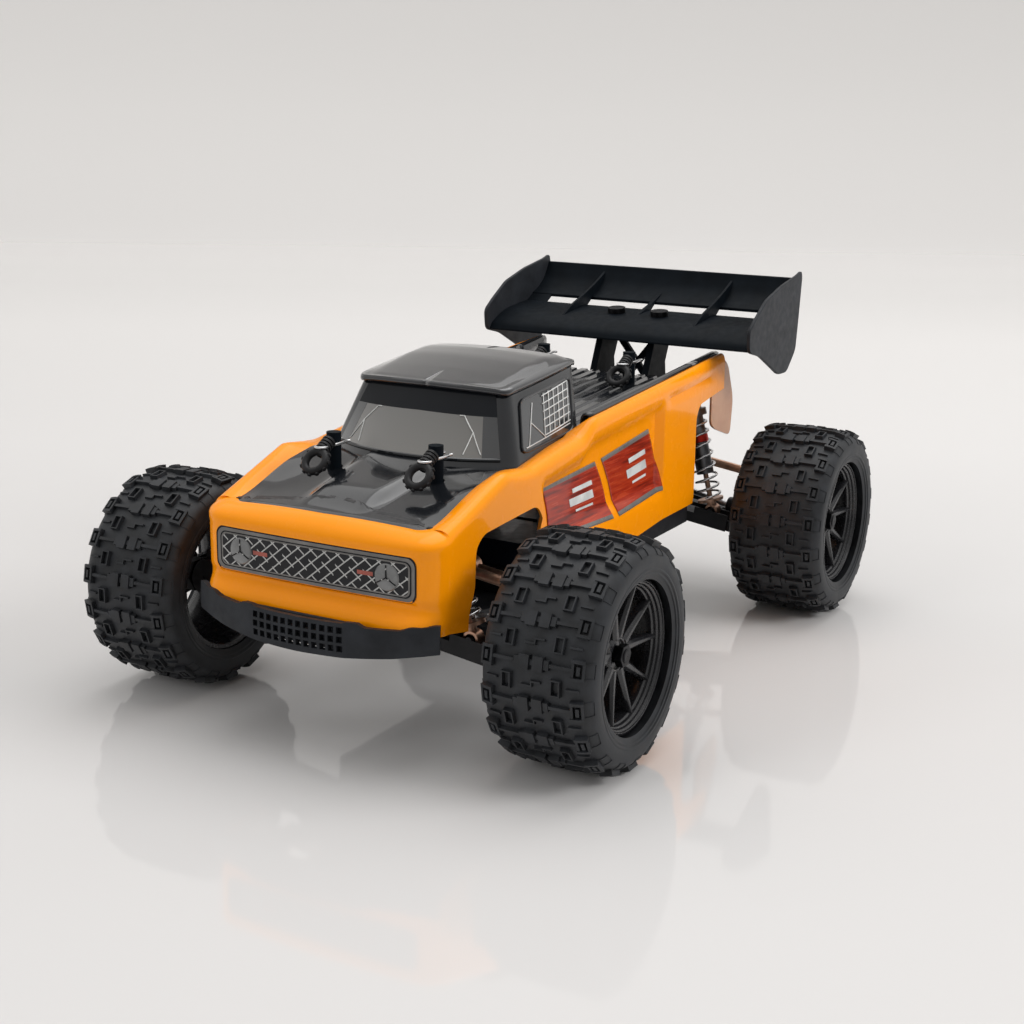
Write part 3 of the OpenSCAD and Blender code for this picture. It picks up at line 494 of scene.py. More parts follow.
def door_wood():
    """Red stained boards with dark grain running along the door."""
    made = Finish("door_wood")
    grain = made.noise(2.2, 6, (0.12, 1, 1.6))
    coarse = made.noise(7, 3, (0.2, 1, 1.2))
    stops = ((0.36, (0.13, 0.01, 0.004)), (0.47, (0.34, 0.024, 0.008)), (0.62, (0.46, 0.05, 0.014)))
    made.colour(made.ramp(grain * 0.65 + coarse * 0.35, *stops))
    made.roughness(grain, 0.2, 0.3)
    made.gloss(coat=0.35, specular=0.2)
    return made.material


def grille_mesh():
    """Light diagonal bars crossing on a black field."""
    made = Finish("grille_mesh")
    y = made.axis("Y")
    z = made.axis("Z")
    rising = (y * 0.8 + z).stripes(4.2).near(2.1, 0.27)
    falling = (y * 0.8 - z).stripes(4.2).near(2.1, 0.27)
    # Every other bar is broken, as in a woven pattern
    gaps = (y + z * 0.2).stripes(5.3).over(1.5)
    bars = (rising * gaps).most(falling)
    made.colour(made.blend(bars, (0.012, 0.012, 0.014), (0.42, 0.42, 0.41)))
    made.roughness(made.noise(5), 0.3, 0.4)
    made.gloss(coat=0.1, specular=0.2)
    return made.material


def smoked(name, low_colour, high_colour, z0, z1):
    """Tinted window: a little lighter towards its foot."""
    made = Finish(name)
    height = (made.axis("Z") - z0) * (1 / (z1 - z0))
    made.colour(made.ramp(height, (0.0, low_colour), (1.0, high_colour)))
    made.roughness(made.noise(12), 0.1, 0.16)
    made.bump(made.noise(25, 1), 0.01)
    made.gloss(coat=1.0, coat_roughness=0.02)
    return made.material


def clear_tail():
    """Unpainted brown-tinted plastic."""
    made = Finish("clear_tail")
    made.colour(made.ramp(made.noise(12), (0.3, (0.55, 0.26, 0.13)), (0.7, (0.72, 0.38, 0.2))))
    made.roughness(made.noise(5), 0.16, 0.28)
    made.gloss(coat=0.5)
    made.shader.inputs["Transmission Weight"].default_value = 0.45
    made.shader.inputs["IOR"].default_value = 1.2
    return made.material


def rubber():
    """Tyre rubber: dull, with fine pitting and dusty high spots."""
    made = Finish("tyre_rubber")
    dust = made.noise(5, 6)
    made.colour(made.ramp(dust, (0.35, INK), (0.65, (0.02, 0.022, 0.026))))
    made.roughness(dust, 0.48, 0.62)
    made.bump(made.noise(0.7, 3), 0.035)
    made.bump(made.noise(8, 2), 0.12)
    return made.material


def metal(name, colour, rough, brushed=(1, 1, 1)):
    """Bare metal with fine marks, drawn out along one axis where it is brushed."""
    made = Finish(name)
    marks = made.noise(1.2, 5, brushed)
    made.colour(made.ramp(marks, (0.3, shaded(colour, 0.8)), (0.7, colour)))
    made.roughness(marks, rough, rough + 0.14)
    made.bump(marks, 0.006)
    made.gloss(metallic=1.0)
    return made.material


PAINT = shell_paint()
BLACK = gloss_black("gloss_black", INK, 0.62)
# The roof's black is lighter and a little bluer than the cab's: painted sheen, for the light its top catches
ROOF_SHEEN = gloss_black("roof_black_painted_sheen", (0.014, 0.015, 0.018))
BANNER = gloss_black("banner_black", INK, 0.15)
INSIDE = shell_inside()
WOOD = door_wood()
MESH = grille_mesh()
SCREEN = smoked("smoked_screen", (0.15, 0.145, 0.135), (0.09, 0.088, 0.084), 89, 112)
DARK_GLASS = smoked("dark_glass", (0.03, 0.032, 0.034), (0.018, 0.019, 0.021), 92, 116)
LINE = moulded("printed_line", (0.62, 0.63, 0.62), 0.35)
TRIM = moulded("grey_trim", (0.15, 0.142, 0.135), 0.3, coat=0.2)
LAMP = moulded("lamp_grey", (0.17, 0.172, 0.172), 0.25, coat=0.5)
LAMP_RED = moulded("lamp_red", (0.3, 0.07, 0.05), 0.3, coat=0.4)
CLEAR = clear_tail()
RUBBER = rubber()
TAB = moulded("tab_rubber", (0.012, 0.012, 0.013), 0.42, 0.6, 0.03)
RIM = moulded("rim_plastic", (0.014, 0.014, 0.016), 0.26, 0.6, 0.012, specular=0.6)
WING = moulded("wing_plastic", (0.0045, 0.0065, 0.009), 0.5, 0.35, 0.02, specular=0.05)
BUMPER = moulded("bumper_plastic", (0.02, 0.022, 0.026), 0.5, 0.45, 0.05, specular=0.18)
CHASSIS = moulded("chassis_plastic", (0.016, 0.016, 0.018), 0.4, 0.4, 0.04)
LINKS = moulded("link_plastic", (0.013, 0.013, 0.015), 0.38, 0.4, 0.03)
CHROME = metal("chrome", (0.75, 0.75, 0.76), 0.12)
STEEL = metal("steel", (0.5, 0.5, 0.51), 0.28, (1, 6, 1))
BRASS = metal("brass", (0.65, 0.42, 0.2), 0.28)
COPPER = metal("copper_rod", (0.62, 0.38, 0.27), 0.3)
SCREW = metal("black_screw", (0.03, 0.03, 0.033), 0.34)
RED_CAN = metal("red_anodised", (0.5, 0.03, 0.02), 0.3, (0.1, 1, 1))
WRAP = moulded("battery_wrap", (0.012, 0.016, 0.03), 0.35, 2.0, 0.05, coat=0.2)
DAMPER = metal("damper_grey", (0.2, 0.2, 0.21), 0.3)
CASE = moulded("electronics_case", (0.02, 0.02, 0.023), 0.45, 0.4, 0.03)


# ---- Body shell ---------------------------------------------------------
HOOD_Y = 38.6
SILL_Z = 43.0
CORNER_R = 9.0
CORNER_X = NOSE_X - CORNER_R
FRONT_Y = SIDE_Y - CORNER_R
# How much further out the middle of the nose stands than its ends
NOSE_BOW = 0.8
# The rails beside the bed end here, and the fenders beside the hood begin
RAIL_END_X = 25
# Ends of the inset doors, and the width of the slope up to the fenders
DOOR_REAR, DOOR_FRONT = -33.4, 61
CHAMFER = 3.4
# Height of the fender and rail edge along the side
EDGE = [(TAIL_X, 107.3), (RAIL_END_X, 99.2), (32, 94.6), (70, 90.4), (79, 90.8), (88.5, 92.6), (124, 80.2),
    (134, 76)]


def shell_piece(name, part, finishes, face_finish=None, smooth=35):
    """A piece that stands for a part of the body shell."""
    return piece(name, part, "root", finishes, ["body_shell"], face_finish, smooth)


def hood_height(x, y):
    """The hood: a gentle crown with a raised middle between two creases."""
    share = min(1, abs(y) / HOOD_Y)
    base = 80.9 + (124 - x) * 0.163 - 1.6 * share**2
    side_lift = 3.6 * ease(x, 122, 92) * ease(x, 68, 82) * share**3
    crease = 9 + (129 - x) * 0.09
    rise = 2.6 * ease(x, 127, 108)
    return base + side_lift + rise * ease(abs(y), crease + 4.5, crease)


def side_inset(x, z):
    """How far the doors lie inside the fenders."""
    edge = along(x, EDGE)
    door = along(x, [(DOOR_REAR - CHAMFER, 0), (DOOR_REAR, 1), (DOOR_FRONT, 1), (DOOR_FRONT + CHAMFER, 0)])
    return 2.9 * door * ease(z, 57, 66) * ease(z, edge - 6, edge - 12)


def groove(x, z):
    """Long shallow groove along the rear fender."""
    edge = along(x, EDGE)
    return 1.0 * ease(x, -92, -86) * ease(x, -38, -43) * ease(abs(z - edge + 7), 1.5, 0.5)


def foot_lip(z):
    """How far the foot of the shell turns in."""
    return 0.5 * ease(z, 52, 46)


def side_point(x, z):
    """Outer surface of the left side."""
    lean = 0.9 * ease(x, -60, TAIL_X)
    return Vector((x, SIDE_Y - lean - foot_lip(z) - side_inset(x, z) - groove(x, z), z))


def nose_reach(z):
    """How far the nose stands out at a height: the flared valance, then the flat grille."""
    valance = 2.4 * ease(z, 53.5, 48.5)
    step = ease(z, 51.5, 54.5) * ease(z, 57.6, 56)
    return valance - step + 0.5 * ease(z, 72.6, 73.6)


def nose_plan(y):
    """Foremost X of the nose across its width."""
    return NOSE_X + NOSE_BOW * (1 - min(1, y / FRONT_Y) ** 2)


def over_edge(top, first, second, inner):
    """The curve from the top of a wall over to the hood or the bed."""
    return [bezier(top, first, second, inner, t) for t in steps(0, 1, 10)]


def side_column(x):
    """Points up the side at x, and those over its edge."""
    edge = along(x, EDGE)
    wall = [side_point(x, z) for z in steps(SILL_Z, edge - 4.5, 24)]
    first = wall[-1] + Vector((0, 0.1, 3.4))
    if x < RAIL_END_X:
        second = Vector((x, 45.6, edge + 1.2))
        inner = Vector((x, 43.4, edge - 0.1))
    else:
        second = Vector((x, 44.8, edge + 1.4))
        inner = Vector((x, HOOD_Y, min(hood_height(x, HOOD_Y), edge - 1)))
    return wall, over_edge(wall[-1], first, second, inner)


def nose_column(foot, hood, way, share):
    """The same above a foot of the nose: way points out, and share is 0 at the side and 1 in front."""
    wall = []
    for z in steps(SILL_Z, mix(75.7, 74.6, share), 24):
        wall.append(foot + way * (nose_reach(z) * share - foot_lip(z) * (1 - share)) + Vector((0, 0, z)))
    first = wall[-1] + Vector((0, 0, 2.6))
    inner = Vector((hood.x, hood.y, hood_height(hood.x, hood.y)))
    second = mix(wall[-1], inner, 0.62)
    second.z = inner.z + mix(1.0, 0.1, share)
    return wall, over_edge(wall[-1], first, second, inner)


def corner_column(angle):
    """The nose's column at an angle round its corner, from 0 at the side to 90 in front."""
    share = angle / 90
    turn = math.radians(angle)
    way = Vector((math.sin(turn), math.cos(turn), 0))
    foot = Vector((CORNER_X, FRONT_Y, 0)) + way * CORNER_R
    hood = Vector((CORNER_X - 4, FRONT_Y - 4, 0)) + way * mix(4.1, 5.6, share)
    return nose_column(foot, hood, way, share)


def front_column(y):
    """The nose's column at y."""
    way = Vector((1, 2 * NOSE_BOW * y / FRONT_Y**2, 0)).normalized()
    foot = Vector((nose_plan(y), y, 0))
    hood = Vector((CORNER_X + 1.6 + 1.6 * (1 - y / FRONT_Y), y * (FRONT_Y - 4) / FRONT_Y, 0))
    return nose_column(foot, hood, way, 1)


def nose_columns():
    """Columns from the side round the corner to the middle of the nose."""
    corner = [corner_column(angle) for angle in steps(0, 90, 9)[1:-1]]
    return corner + [front_column(y) for y in steps(FRONT_Y, 0, 14)]


# Outlines cut out of the skin, as (x, z)
ARCH = rounded([(58.3, 38), (58.3, 60.5), (67.5, 76.6), (104.6, 74.6), (109.6, 71), (110.2, 57), (113.4, 51),
    (113.4, 38)], 4.5)
TAIL_CUT = rounded([(-112, 38), (-112, 93.2), (-99.4, 92.6), (-72.5, 89.7), (-69, 85), (-69, 48.4),
    (-66, 38)], 4)
SILL_CUT = rounded([(-75, 20), (-75, 48.4), (-66, 48.4), (-38.5, 48.2), (-6.5, 45.6), (19, 52.4),
    (58.6, 61.2), (58.6, 20)], 2.5)
NOSE_CUT = [(113.1, 20), (113.1, 43.6), (126, 46.2), (145, 46.8), (145, 20)]


def build_shell():
    """Painted skin of the sides, fenders, rails and nose."""
    bends = [DOOR_REAR - CHAMFER, DOOR_REAR, DOOR_FRONT, DOOR_FRONT + CHAMFER]
    columns = [side_column(x) for x in sorted(steps(TAIL_X, CORNER_X, 88) + bends)] + nose_columns()
    half = sheet_of([wall + over[1:] for wall, over in columns])
    skin = shell_piece("shell_paint_skin", both_sides(half), [PAINT, INSIDE])
    bpy.context.view_layer.update()
    thicken(skin, WALL, 1)
    tools = []
    for low, high in ((30, 60), (-60, -30)):
        tools += [prism(outline, "y", low, high) for outline in (ARCH, TAIL_CUT)]
    tools += [prism(outline, "y", -60, 60) for outline in (SILL_CUT, NOSE_CUT)]
    cut(skin, tools)
    shade(skin, 32)


def post_holes(posts, low, high):
    """Round cutters for the two body posts at (x, y) and its mirror."""
    x, y = posts[:2]
    holes = []
    for side in (-1, 1):
        outline = [(x + 3.1 * math.cos(a), side * y + 3.1 * math.sin(a)) for a in turns(20)]
        holes.append(prism(outline, "z", low, high))
    return holes


def build_hood():
    """Black hood panel, reaching back under the windscreen."""
    edge = [side_column(x)[1][-1] for x in steps(60, CORNER_X, 30)]
    edge += [over[-1] for _, over in nose_columns()]
    rows = []
    for t in steps(0, 1, 18):
        row = []
        for p in edge:
            spine = Vector((min(p.x, 118), 0, 0))
            q = mix(Vector((p.x, p.y, 0)), spine, t)
            lift = 0.25 * ease(t, 0, 0.06)
            row.append((q.x, q.y, mix(p.z, hood_height(q.x, q.y) + lift, ease(t, 0, 0.1))))
        rows.append(row)
    hood = shell_piece("hood_panel", both_sides(sheet_of(rows)), [BLACK, INSIDE], smooth=50)
    thicken(hood, WALL, 1)
    cut(hood, post_holes(FRONT_POSTS, 78, 100))
    shade(hood, 40)


# Left half of the cab at its foot and head: front middle, front corner, rear corner and rear middle
CAB_FOOT = [Vector(p) for p in ((82.5, 0, 89.2), (67.6, 38.4, 89.0), (19.5, 38.6, 91.4), (17.5, 0, 91.2))]
CAB_HEAD = [Vector(p) for p in ((63.2, 0, 113.6), (60.0, 30.4, 112.6), (11.0, 30.6, 117.2), (9.5, 0, 118.6))]
CAB_BULGE = 0.5


def arc_through(start, corner, end, count):
    """A rounded corner between two points, without the first of them."""
    return [start * (1 - s) ** 2 + corner * (2 * s * (1 - s)) + end * s * s for s in steps(0, 1, count)[1:]]


def screen_line_point(front, corner, y):
    """A point of the cab's curved front at one height, between its middle and its corner."""
    share = y / corner.y
    return Vector((mix(front.x, corner.x, share**2.2), y, mix(front.z, corner.z, share)))


def cab_ring(t):
    """Half ring of the cab at height share t, from the middle of the front to the middle of the rear."""
    front, corner, rear, back = (mix(a, b, t) for a, b in zip(CAB_FOOT, CAB_HEAD))
    radius = 3.6
    rear_radius = 3
    points = [screen_line_point(front, corner, y) for y in steps(0, corner.y - radius, 14)]
    after = mix(corner, rear, radius / (rear - corner).length)
    points += arc_through(points[-1], corner + Vector((0.6, 0.4, 0)), after, 7)
    turn = mix(corner, rear, 1 - rear_radius / (rear - corner).length)
    for s in steps(0, 1, 12)[1:]:
        points.append(mix(after, turn, s) + Vector((0, CAB_BULGE * math.sin(math.pi * s), 0)))
    last = mix(rear, back, rear_radius / (back - rear).length)
    points += arc_through(turn, rear, last, 5)
    return points + [mix(last, back, s) for s in steps(0, 1, 6)[1:]]


def pushed_out(points, offset):
    """A ring of the cab moved outwards in plan."""
    made = []
    for i, p in enumerate(points):
        ahead = points[min(i + 1, len(points) - 1)]
        behind = points[max(i - 1, 0)]
        way = Vector((ahead.y - behind.y, behind.x - ahead.x, 0)).normalized()
        made.append(p + way * offset)
    return made


def build_cab():
    """Black cab sides, pillars and rear, with its foot flange."""
    rows = [[p + Vector((0, 0, -1.4)) for p in pushed_out(cab_ring(0), 0.9)]]
    rows += [cab_ring(t) for t in steps(0, 1, 12)]
    thicken(shell_piece("cab_pillars", both_sides(sheet_of(rows)), [BLACK, INSIDE]), WALL, 1)


def roof_height(x, y):
    """The roof dome, rising to the rear."""
    mid = along(x, [(4, 117.6), (9, 119.2), (15, 120.8), (24, 121.1), (36, 120), (50, 117.6), (64, 114.9)])
    return mid - 1.3 * (y / 31) ** 2 - 0.5 * (y / 31) ** 6


def roof_edge(p):
    """Height of the roof's edge above a point of the cab's ring."""
    return min(roof_height(p.x, p.y), p.z + 1.6)


def visor(x):
    """How far the roof stands out over the windscreen."""
    return 0.9 * ease(x, 52, 60)


def build_roof():
    """Domed roof whose edge rolls down all round."""
    rim = pushed_out(cab_ring(1.0), 0.9)
    centre = Vector((34, 0, 0))
    rows = []
    # The rolled edge, from its foot up: height from the edge, and distance outwards
    for drop, reach in ((-1.9, 0.25), (-1.2, 0.45), (-0.4, 0.35), (0.2, 0.0)):
        row = []
        for p in rim:
            out = (Vector((p.x, p.y, 0)) - centre).normalized() * reach
            row.append((p.x + out.x + visor(p.x), p.y + out.y, roof_edge(p) + drop))
        rows.append(row)
    for t in steps(0, 1, 16)[1:]:
        row = []
        for p in rim:
            spine = Vector((min(max(p.x, 24), 50), 0, 0))
            q = mix(Vector((p.x + visor(p.x), p.y, 0)), spine, t)
            row.append((q.x, q.y, mix(roof_edge(p) + 0.2, roof_height(q.x, q.y) + 0.3, ease(t, 0, 0.18))))
        rows.append(row)
    # The roof wears the lighter black with its painted sheen
    roof = shell_piece("roof_panel", both_sides(sheet_of(rows)), [ROOF_SHEEN, INSIDE], smooth=60)
    thicken(roof, WALL, 1)


# Heights on the windscreen, as shares of it
SCREEN_FOOT, BANNER_FOOT, SCREEN_TOP = 0.1, 0.66, 0.99
# Printed roll bars: both ends, as shares across and up the screen, and the number of steps
ROLL_BARS = (
    ((0.62, 0.65), (0.74, 0.44), 5),
    ((0.74, 0.44), (0.66, 0.15), 5),
    ((0.74, 0.44), (0.83, 0.15), 5),
    ((0.56, 0.65), (0.62, 0.65), 3),
)


def screen_point(u, t, lift=0.15):
    """A point on the windscreen: u from -1 to 1 across, t from 0 to 1 up."""
    front, corner = (mix(a, b, t) for a, b in zip(CAB_FOOT[:2], CAB_HEAD[:2]))
    p = screen_line_point(front, corner, abs(u) * (corner.y - 4.2))
    p.y = math.copysign(p.y, u)
    up = (CAB_HEAD[0] - CAB_FOOT[0]).normalized()
    return p + Vector((up.z, 0, -up.x)) * lift


def window_point(s, t, side, lift=0.15):
    """A point on a side window: s from 0 at the front pillar to 1 at the rear, t from 0 to 1 up."""
    foot = mix(CAB_FOOT[1], CAB_FOOT[2], s)
    head = mix(CAB_HEAD[1], CAB_HEAD[2], s)
    p = mix(foot, head, t) + Vector((0, CAB_BULGE * math.sin(math.pi * s), 0))
    up = (head - foot).normalized()
    return Vector((p.x, side * (p.y + up.z * lift), p.z - up.y * lift))


def surface_line(place, start, end, count, width=0.4):
    """A thin raised line between two places on a surface, whose place function gives its points."""
    points = [place(mix(start[0], end[0], t), mix(start[1], end[1], t)) for t in steps(0, 1, count)]
    return tube(points, width / 2, 6)


def screen_patch(across, up, lift=0.15):
    """A patch of the windscreen over two lists of shares."""
    return sheet_of([[screen_point(u, t, lift) for u in across] for t in up])


def build_windscreen():
    """Windscreen under a dark banner, with dark ends, roll bars and a rubber bead along its foot."""
    across = steps(-1, 1, 24)
    up = steps(SCREEN_FOOT, BANNER_FOOT, 10)
    shell_piece("windscreen", screen_patch(across, up), [SCREEN])
    banner = screen_patch(across, steps(BANNER_FOOT, SCREEN_TOP, 3), 0.2)
    shell_piece("windscreen_banner", banner, [BANNER])
    bars = []
    for side, name in SIDES:
        shell_piece(f"screen_end_{name}", screen_patch(steps(0.84 * side, side, 4), up, 0.2), [DARK_GLASS])
        for start, end, count in ROLL_BARS:
            bars.append(surface_line(lambda u, t: screen_point(side * u, t, 0.26), start, end, count))
    shell_piece("screen_roll_bars", joined(bars), [LINE])
    bead = [screen_point(u, SCREEN_FOOT - 0.015, 0.1) for u in steps(-1, 1, 30)]
    shell_piece("cowl_bead", tube(bead, 0.7), [BLACK])


def build_side_window(side, name):
    """Dark side window with a bead round it."""
    outline = rounded([(0.1, 0.13), (0.885, 0.13), (0.9, 0.84), (0.14, 0.84)], 0.08, 3)
    ring = [window_point(s, t, side) for s, t in outline]
    count = len(ring)
    fan = [(i, (i + 1) % count, count) for i in range(count)]
    glass = (ring + [window_point(0.5, 0.48, side, 0.12)], fan)
    shell_piece(f"side_window_{name}", glass, [DARK_GLASS], smooth=60)
    shell_piece(f"window_bead_{name}", tube(ring, 0.5, 8, closed=True), [BLACK])


def build_window_net(side, name):
    """Slack net in the rear of a side window, held by three straps."""
    def cord(start, end, width=0.4):
        return surface_line(lambda s, t: window_point(s, t, side, 0.24), start, end, 6, width)

    net = []
    for share in steps(0, 1, 5):
        s = mix(0.46, 0.84, share)
        net.append(cord((s - 0.02, 0.24 + 0.03 * share), (s + 0.01, 0.8), 0.45))
    for t in steps(0.26, 0.79, 5):
        net.append(cord((0.44, t - 0.02), (0.85, t + 0.02), 0.45))
    net.append(cord((0.16, 0.18), (0.84, 0.24)))
    net.append(cord((0.2, 0.18), (0.3, 0.74)))
    net.append(cord((0.26, 0.48), (0.44, 0.22)))
    shell_piece(f"window_net_{name}", joined(net), [LINE])


BED_REAR = -75


def bed_floor(x):
    return mix(92.7, 98.6, (22 - x) / 96)


def rail_top(x):
    """Section over the top of the left rail, from the paint inwards."""
    edge = along(x, EDGE)
    return [(x, 43.7, edge + 0.45), (x, 42.4, edge + 1.1), (x, 40.6, edge + 1.0), (x, 39.8, edge - 0.2)]


def build_bed():
    """Ribbed load bed between black inner rails."""
    pitch = 5.4
    rows = []
    for x in steps(22, BED_REAR, 24):
        row = rail_top(x) + [(x, 39.2, bed_floor(x) + 1.2), (x, 38.4, bed_floor(x) + 0.2)]
        for y in steps(37.4, 0, 90):
            across = (y % pitch) / pitch
            rib = ease(abs(across - 0.5), 0.38, 0.28) * ease(y, 38, 36.5)
            row.append((x, y, bed_floor(x) + 0.9 * rib))
        rows.append(row)
    bed = shell_piece("load_bed", both_sides(sheet_of(rows)), [BLACK, INSIDE], smooth=40)
    thicken(bed, WALL * 0.8, 1)
    cut(bed, post_holes(REAR_POSTS, 90, 110))


def build_rail_end(side, name):
    """Top of a rail behind the open end of the bed."""
    rows = []
    for x in steps(BED_REAR, TAIL_X + 0.4, 8):
        foot = along(x, EDGE) - 5 - 6 * ease(x, -96, -78)
        rows.append([(p[0], side * p[1], p[2]) for p in rail_top(x) + [(x, 39.6, foot)]])
    thicken(shell_piece(f"rail_end_{name}", sheet_of(rows), [BLACK, INSIDE]), WALL * 0.8, 1)


def build_tail_panel(side, name):
    """Brown clear panel left unpainted behind a rear arch."""
    outline = rounded([(-91, 93), (-91, 78), (-96, 75), (-113.5, 69.4), (-115.4, 86), (-108, 102),
        (-99.4, 106.6), (-91, 106.6)], 4)
    panel = prism(outline, "y", *sorted((side * 43.7, side * 44.7)))
    soften(shell_piece(f"tail_panel_{name}", panel, [CLEAR]), 0.25, 2)


# Door panels from front to rear: front top, rear top, rear foot and front foot, as (x, z)
DOORS = (
    ((60.5, 80.6), (19.6, 82.6), (7.2, 58.6), (55.5, 60.6)),
    ((14.4, 82.8), (-26.9, 87.0), (-36.8, 60.6), (2.6, 58.4)),
)
# Plain printed bars, as shares along and down the panel: start, end, top, bottom
DOOR_BARS = ((0.5, 0.86, 0.26, 0.34), (0.42, 0.84, 0.42, 0.56), (0.5, 0.8, 0.64, 0.68))


def door_patch(corners, side, across, down, bow, lift):
    """A patch of a door over two lists of shares; bow is how far its middle height swings back."""
    front_top, rear_top, rear_foot, front_foot = (Vector(c) for c in corners)
    rows = []
    for t in down:
        row = []
        for s in across:
            x, z = mix(mix(front_top, rear_top, s), mix(front_foot, rear_foot, s), t)
            p = side_point(x - bow * math.sin(math.pi * t), z)
            row.append((p.x, side * (p.y + lift), p.z))
        rows.append(row)
    return sheet_of(rows)


def build_door(number, corners, side, name):
    """Stained wood panel between two grey strips, with printed bars on it."""
    # Rows bunch up at the strips along the top and bottom edges
    down = [0, 0.03, 0.07] + steps(0.1, 0.9, 20) + [0.93, 0.97, 1]
    columns = 44
    panel = door_patch(corners, side, steps(0, 1, columns), down, 1.6, 0.25)
    strip_rows = (0, 1, len(down) - 3, len(down) - 2)
    finish = [1 if i // columns in strip_rows else 0 for i in range(len(panel[1]))]
    door = shell_piece(f"door_panel_{number}_{name}", panel, [WOOD, TRIM], finish)
    thicken(door, 0.1)
    bars = []
    for s0, s1, t0, t1 in DOOR_BARS:
        bars.append(door_patch(corners, side, steps(s0, s1, 8), steps(t0, t1, 2), 0, 0.4))
    shell_piece(f"door_bars_{number}_{name}", joined(bars), [LINE])


# Grille panels laid on one another: half width, foot, top, corner radius, lift and finish
GRILLE = {
    "grille_rim": (40.0, 56.8, 72.4, 3.4, 0.08, BANNER),
    "grille_border": (39.4, 57.4, 71.8, 3.0, 0.14, TRIM),
    "grille_line": (38.2, 58.5, 70.7, 2.4, 0.20, BANNER),
    "grille_inner_border": (37.7, 58.9, 70.3, 2.2, 0.26, TRIM),
    "grille_field": (37.1, 59.4, 69.8, 1.9, 0.32, MESH),
}


def nose_surface(y, z, lift):
    """A point on the nose, lifted forward."""
    return (nose_plan(abs(y)) + nose_reach(z) + lift, y, z)


def grille_panel(half_y, foot, top, radius, lift):
    """A rounded rectangle laid on the nose. Its columns crowd together towards the rounded ends."""
    rows = []
    for t in steps(0, 1, 4):
        row = []
        for a in steps(-math.pi / 2, math.pi / 2, 64):
            y = half_y * math.sin(a)
            # How far the outline has come in where this column crosses it
            past = max(0, abs(y) - half_y + radius)
            inset = radius - math.sqrt(max(0, radius**2 - past**2))
            row.append(nose_surface(y, mix(foot + inset, top - inset, t), lift))
        rows.append(row)
    return sheet_of(rows)


def build_grille():
    """Printed grille: grey border, thin black line and crossed bars."""
    for name, (*sizes, finish) in GRILLE.items():
        shell_piece(name, grille_panel(*sizes), [finish], smooth=60)


def build_headlamp(side, name):
    """Printed lamp parted by three ribs, and the short red bar beside it."""
    def spot(radius, angle, lift):
        return nose_surface(side * 29.2 + radius * math.cos(angle), 64.6 + radius * math.sin(angle), lift)

    rings = ((4.6, 0.36), (4.2, 0.75), (3.0, 0.95), (0.0, 0.6))
    lens = sheet_of([[spot(radius, a, lift) for a in turns(24)] for radius, lift in rings], closed=True)
    shell_piece(f"headlamp_{name}", lens, [LAMP], smooth=18)
    ribs = []
    for a in turns(3):
        ribs.append(tube([spot(radius, a + math.pi / 2, 1.0) for radius in steps(0, 4.2, 3)], 0.22, 6))
    shell_piece(f"lamp_ribs_{name}", joined(ribs), [MESH])
    across = steps(*sorted((side * 24, side * 18)), 4)
    bar = sheet_of([[nose_surface(y, z, 0.4) for y in across] for z in (64.2, 65.6)])
    shell_piece(f"lamp_bar_{name}", bar, [LAMP_RED])


build_shell()
build_hood()
build_cab()
build_roof()
build_windscreen()
build_bed()
build_grille()
for side, name in SIDES:
    build_side_window(side, name)
    build_window_net(side, name)
    build_rail_end(side, name)
    build_tail_panel(side, name)
    build_headlamp(side, name)
    for number, corners in enumerate(DOORS, 1):
        build_door(number, corners, side, name)


# ---- Wheels -------------------------------------------------------------
LUGS = 18
PITCH = 2 * math.pi / LUGS
TREAD_R = 37.6
# Length of the carcass from bead to bead
CARCASS_RUN = 84


def wheel_place(corner):
    """Moves a left wheel, made about its own middle, to a corner of the buggy."""
    x = FRONT_AXLE_X if corner[0] == "f" else REAR_AXLE_X
    if corner[1] == "l":
        return Matrix.Translation((x, TYRE_MID_Y, AXLE_Z))
    return Matrix.Translation((x, -TYRE_MID_Y, AXLE_Z)) @ Matrix.Rotation(math.pi, 4, "Z")


def carcass(s):
    """Left tyre's outline as (distance from the middle, radius), from its inner bead at 0 to its outer at 1."""
    half = [(0, 37.7), (6, 37.6), (13, 37.3), (16.8, 36.4), (19.2, 34.4), (19.95, 31.5), (19.6, 28.6),
        (18.5, RIM_R - 0.1)]
    corners = [(-y, r) for y, r in reversed(half[1:])] + half
    return spline(corners, s * (len(corners) - 1))


def carcass_normal(s):
    way = (carcass(min(1, s + 0.004)) - carcass(max(0, s - 0.004))).normalized()
    return Vector((-way.y, way.x))


def lug(t0, t1, a0, a1, height, taper=0.18):
    """A moulded block on the tread: t across in millimetres, a round it in millimetres at the tread."""
    rows = []
    across = max(2, int(abs(t1 - t0) / 2.5) + 1)
    for a, level in ((a0, 0), (a0 + taper, 1), (a1 - taper, 1), (a1, 0)):
        row = []
        for i, t in enumerate(steps(t0, t1, across)):
            inward = taper * level * (1 if i == 0 else -1 if i == across else 0)
            share = 0.5 + (t + inward) / CARCASS_RUN
            p = carcass(share)
            n = carcass_normal(share) * (height if level else -0.6)
            reach = min(p.y + n.y, TYRE_R - 0.02)
            turn = a / TREAD_R
            row.append((reach * math.cos(turn), p.x + n.x, reach * math.sin(turn)))
        rows.append(row)
    verts, faces = sheet_of(rows)
    columns = len(rows[0])
    first_end = tuple(r * columns for r in range(4))
    last_end = tuple(r * columns + columns - 1 for r in reversed(range(4)))
    foot = tuple(range(columns)) + tuple(3 * columns + c for c in reversed(range(columns)))
    return verts, faces + [first_end, last_end, foot]


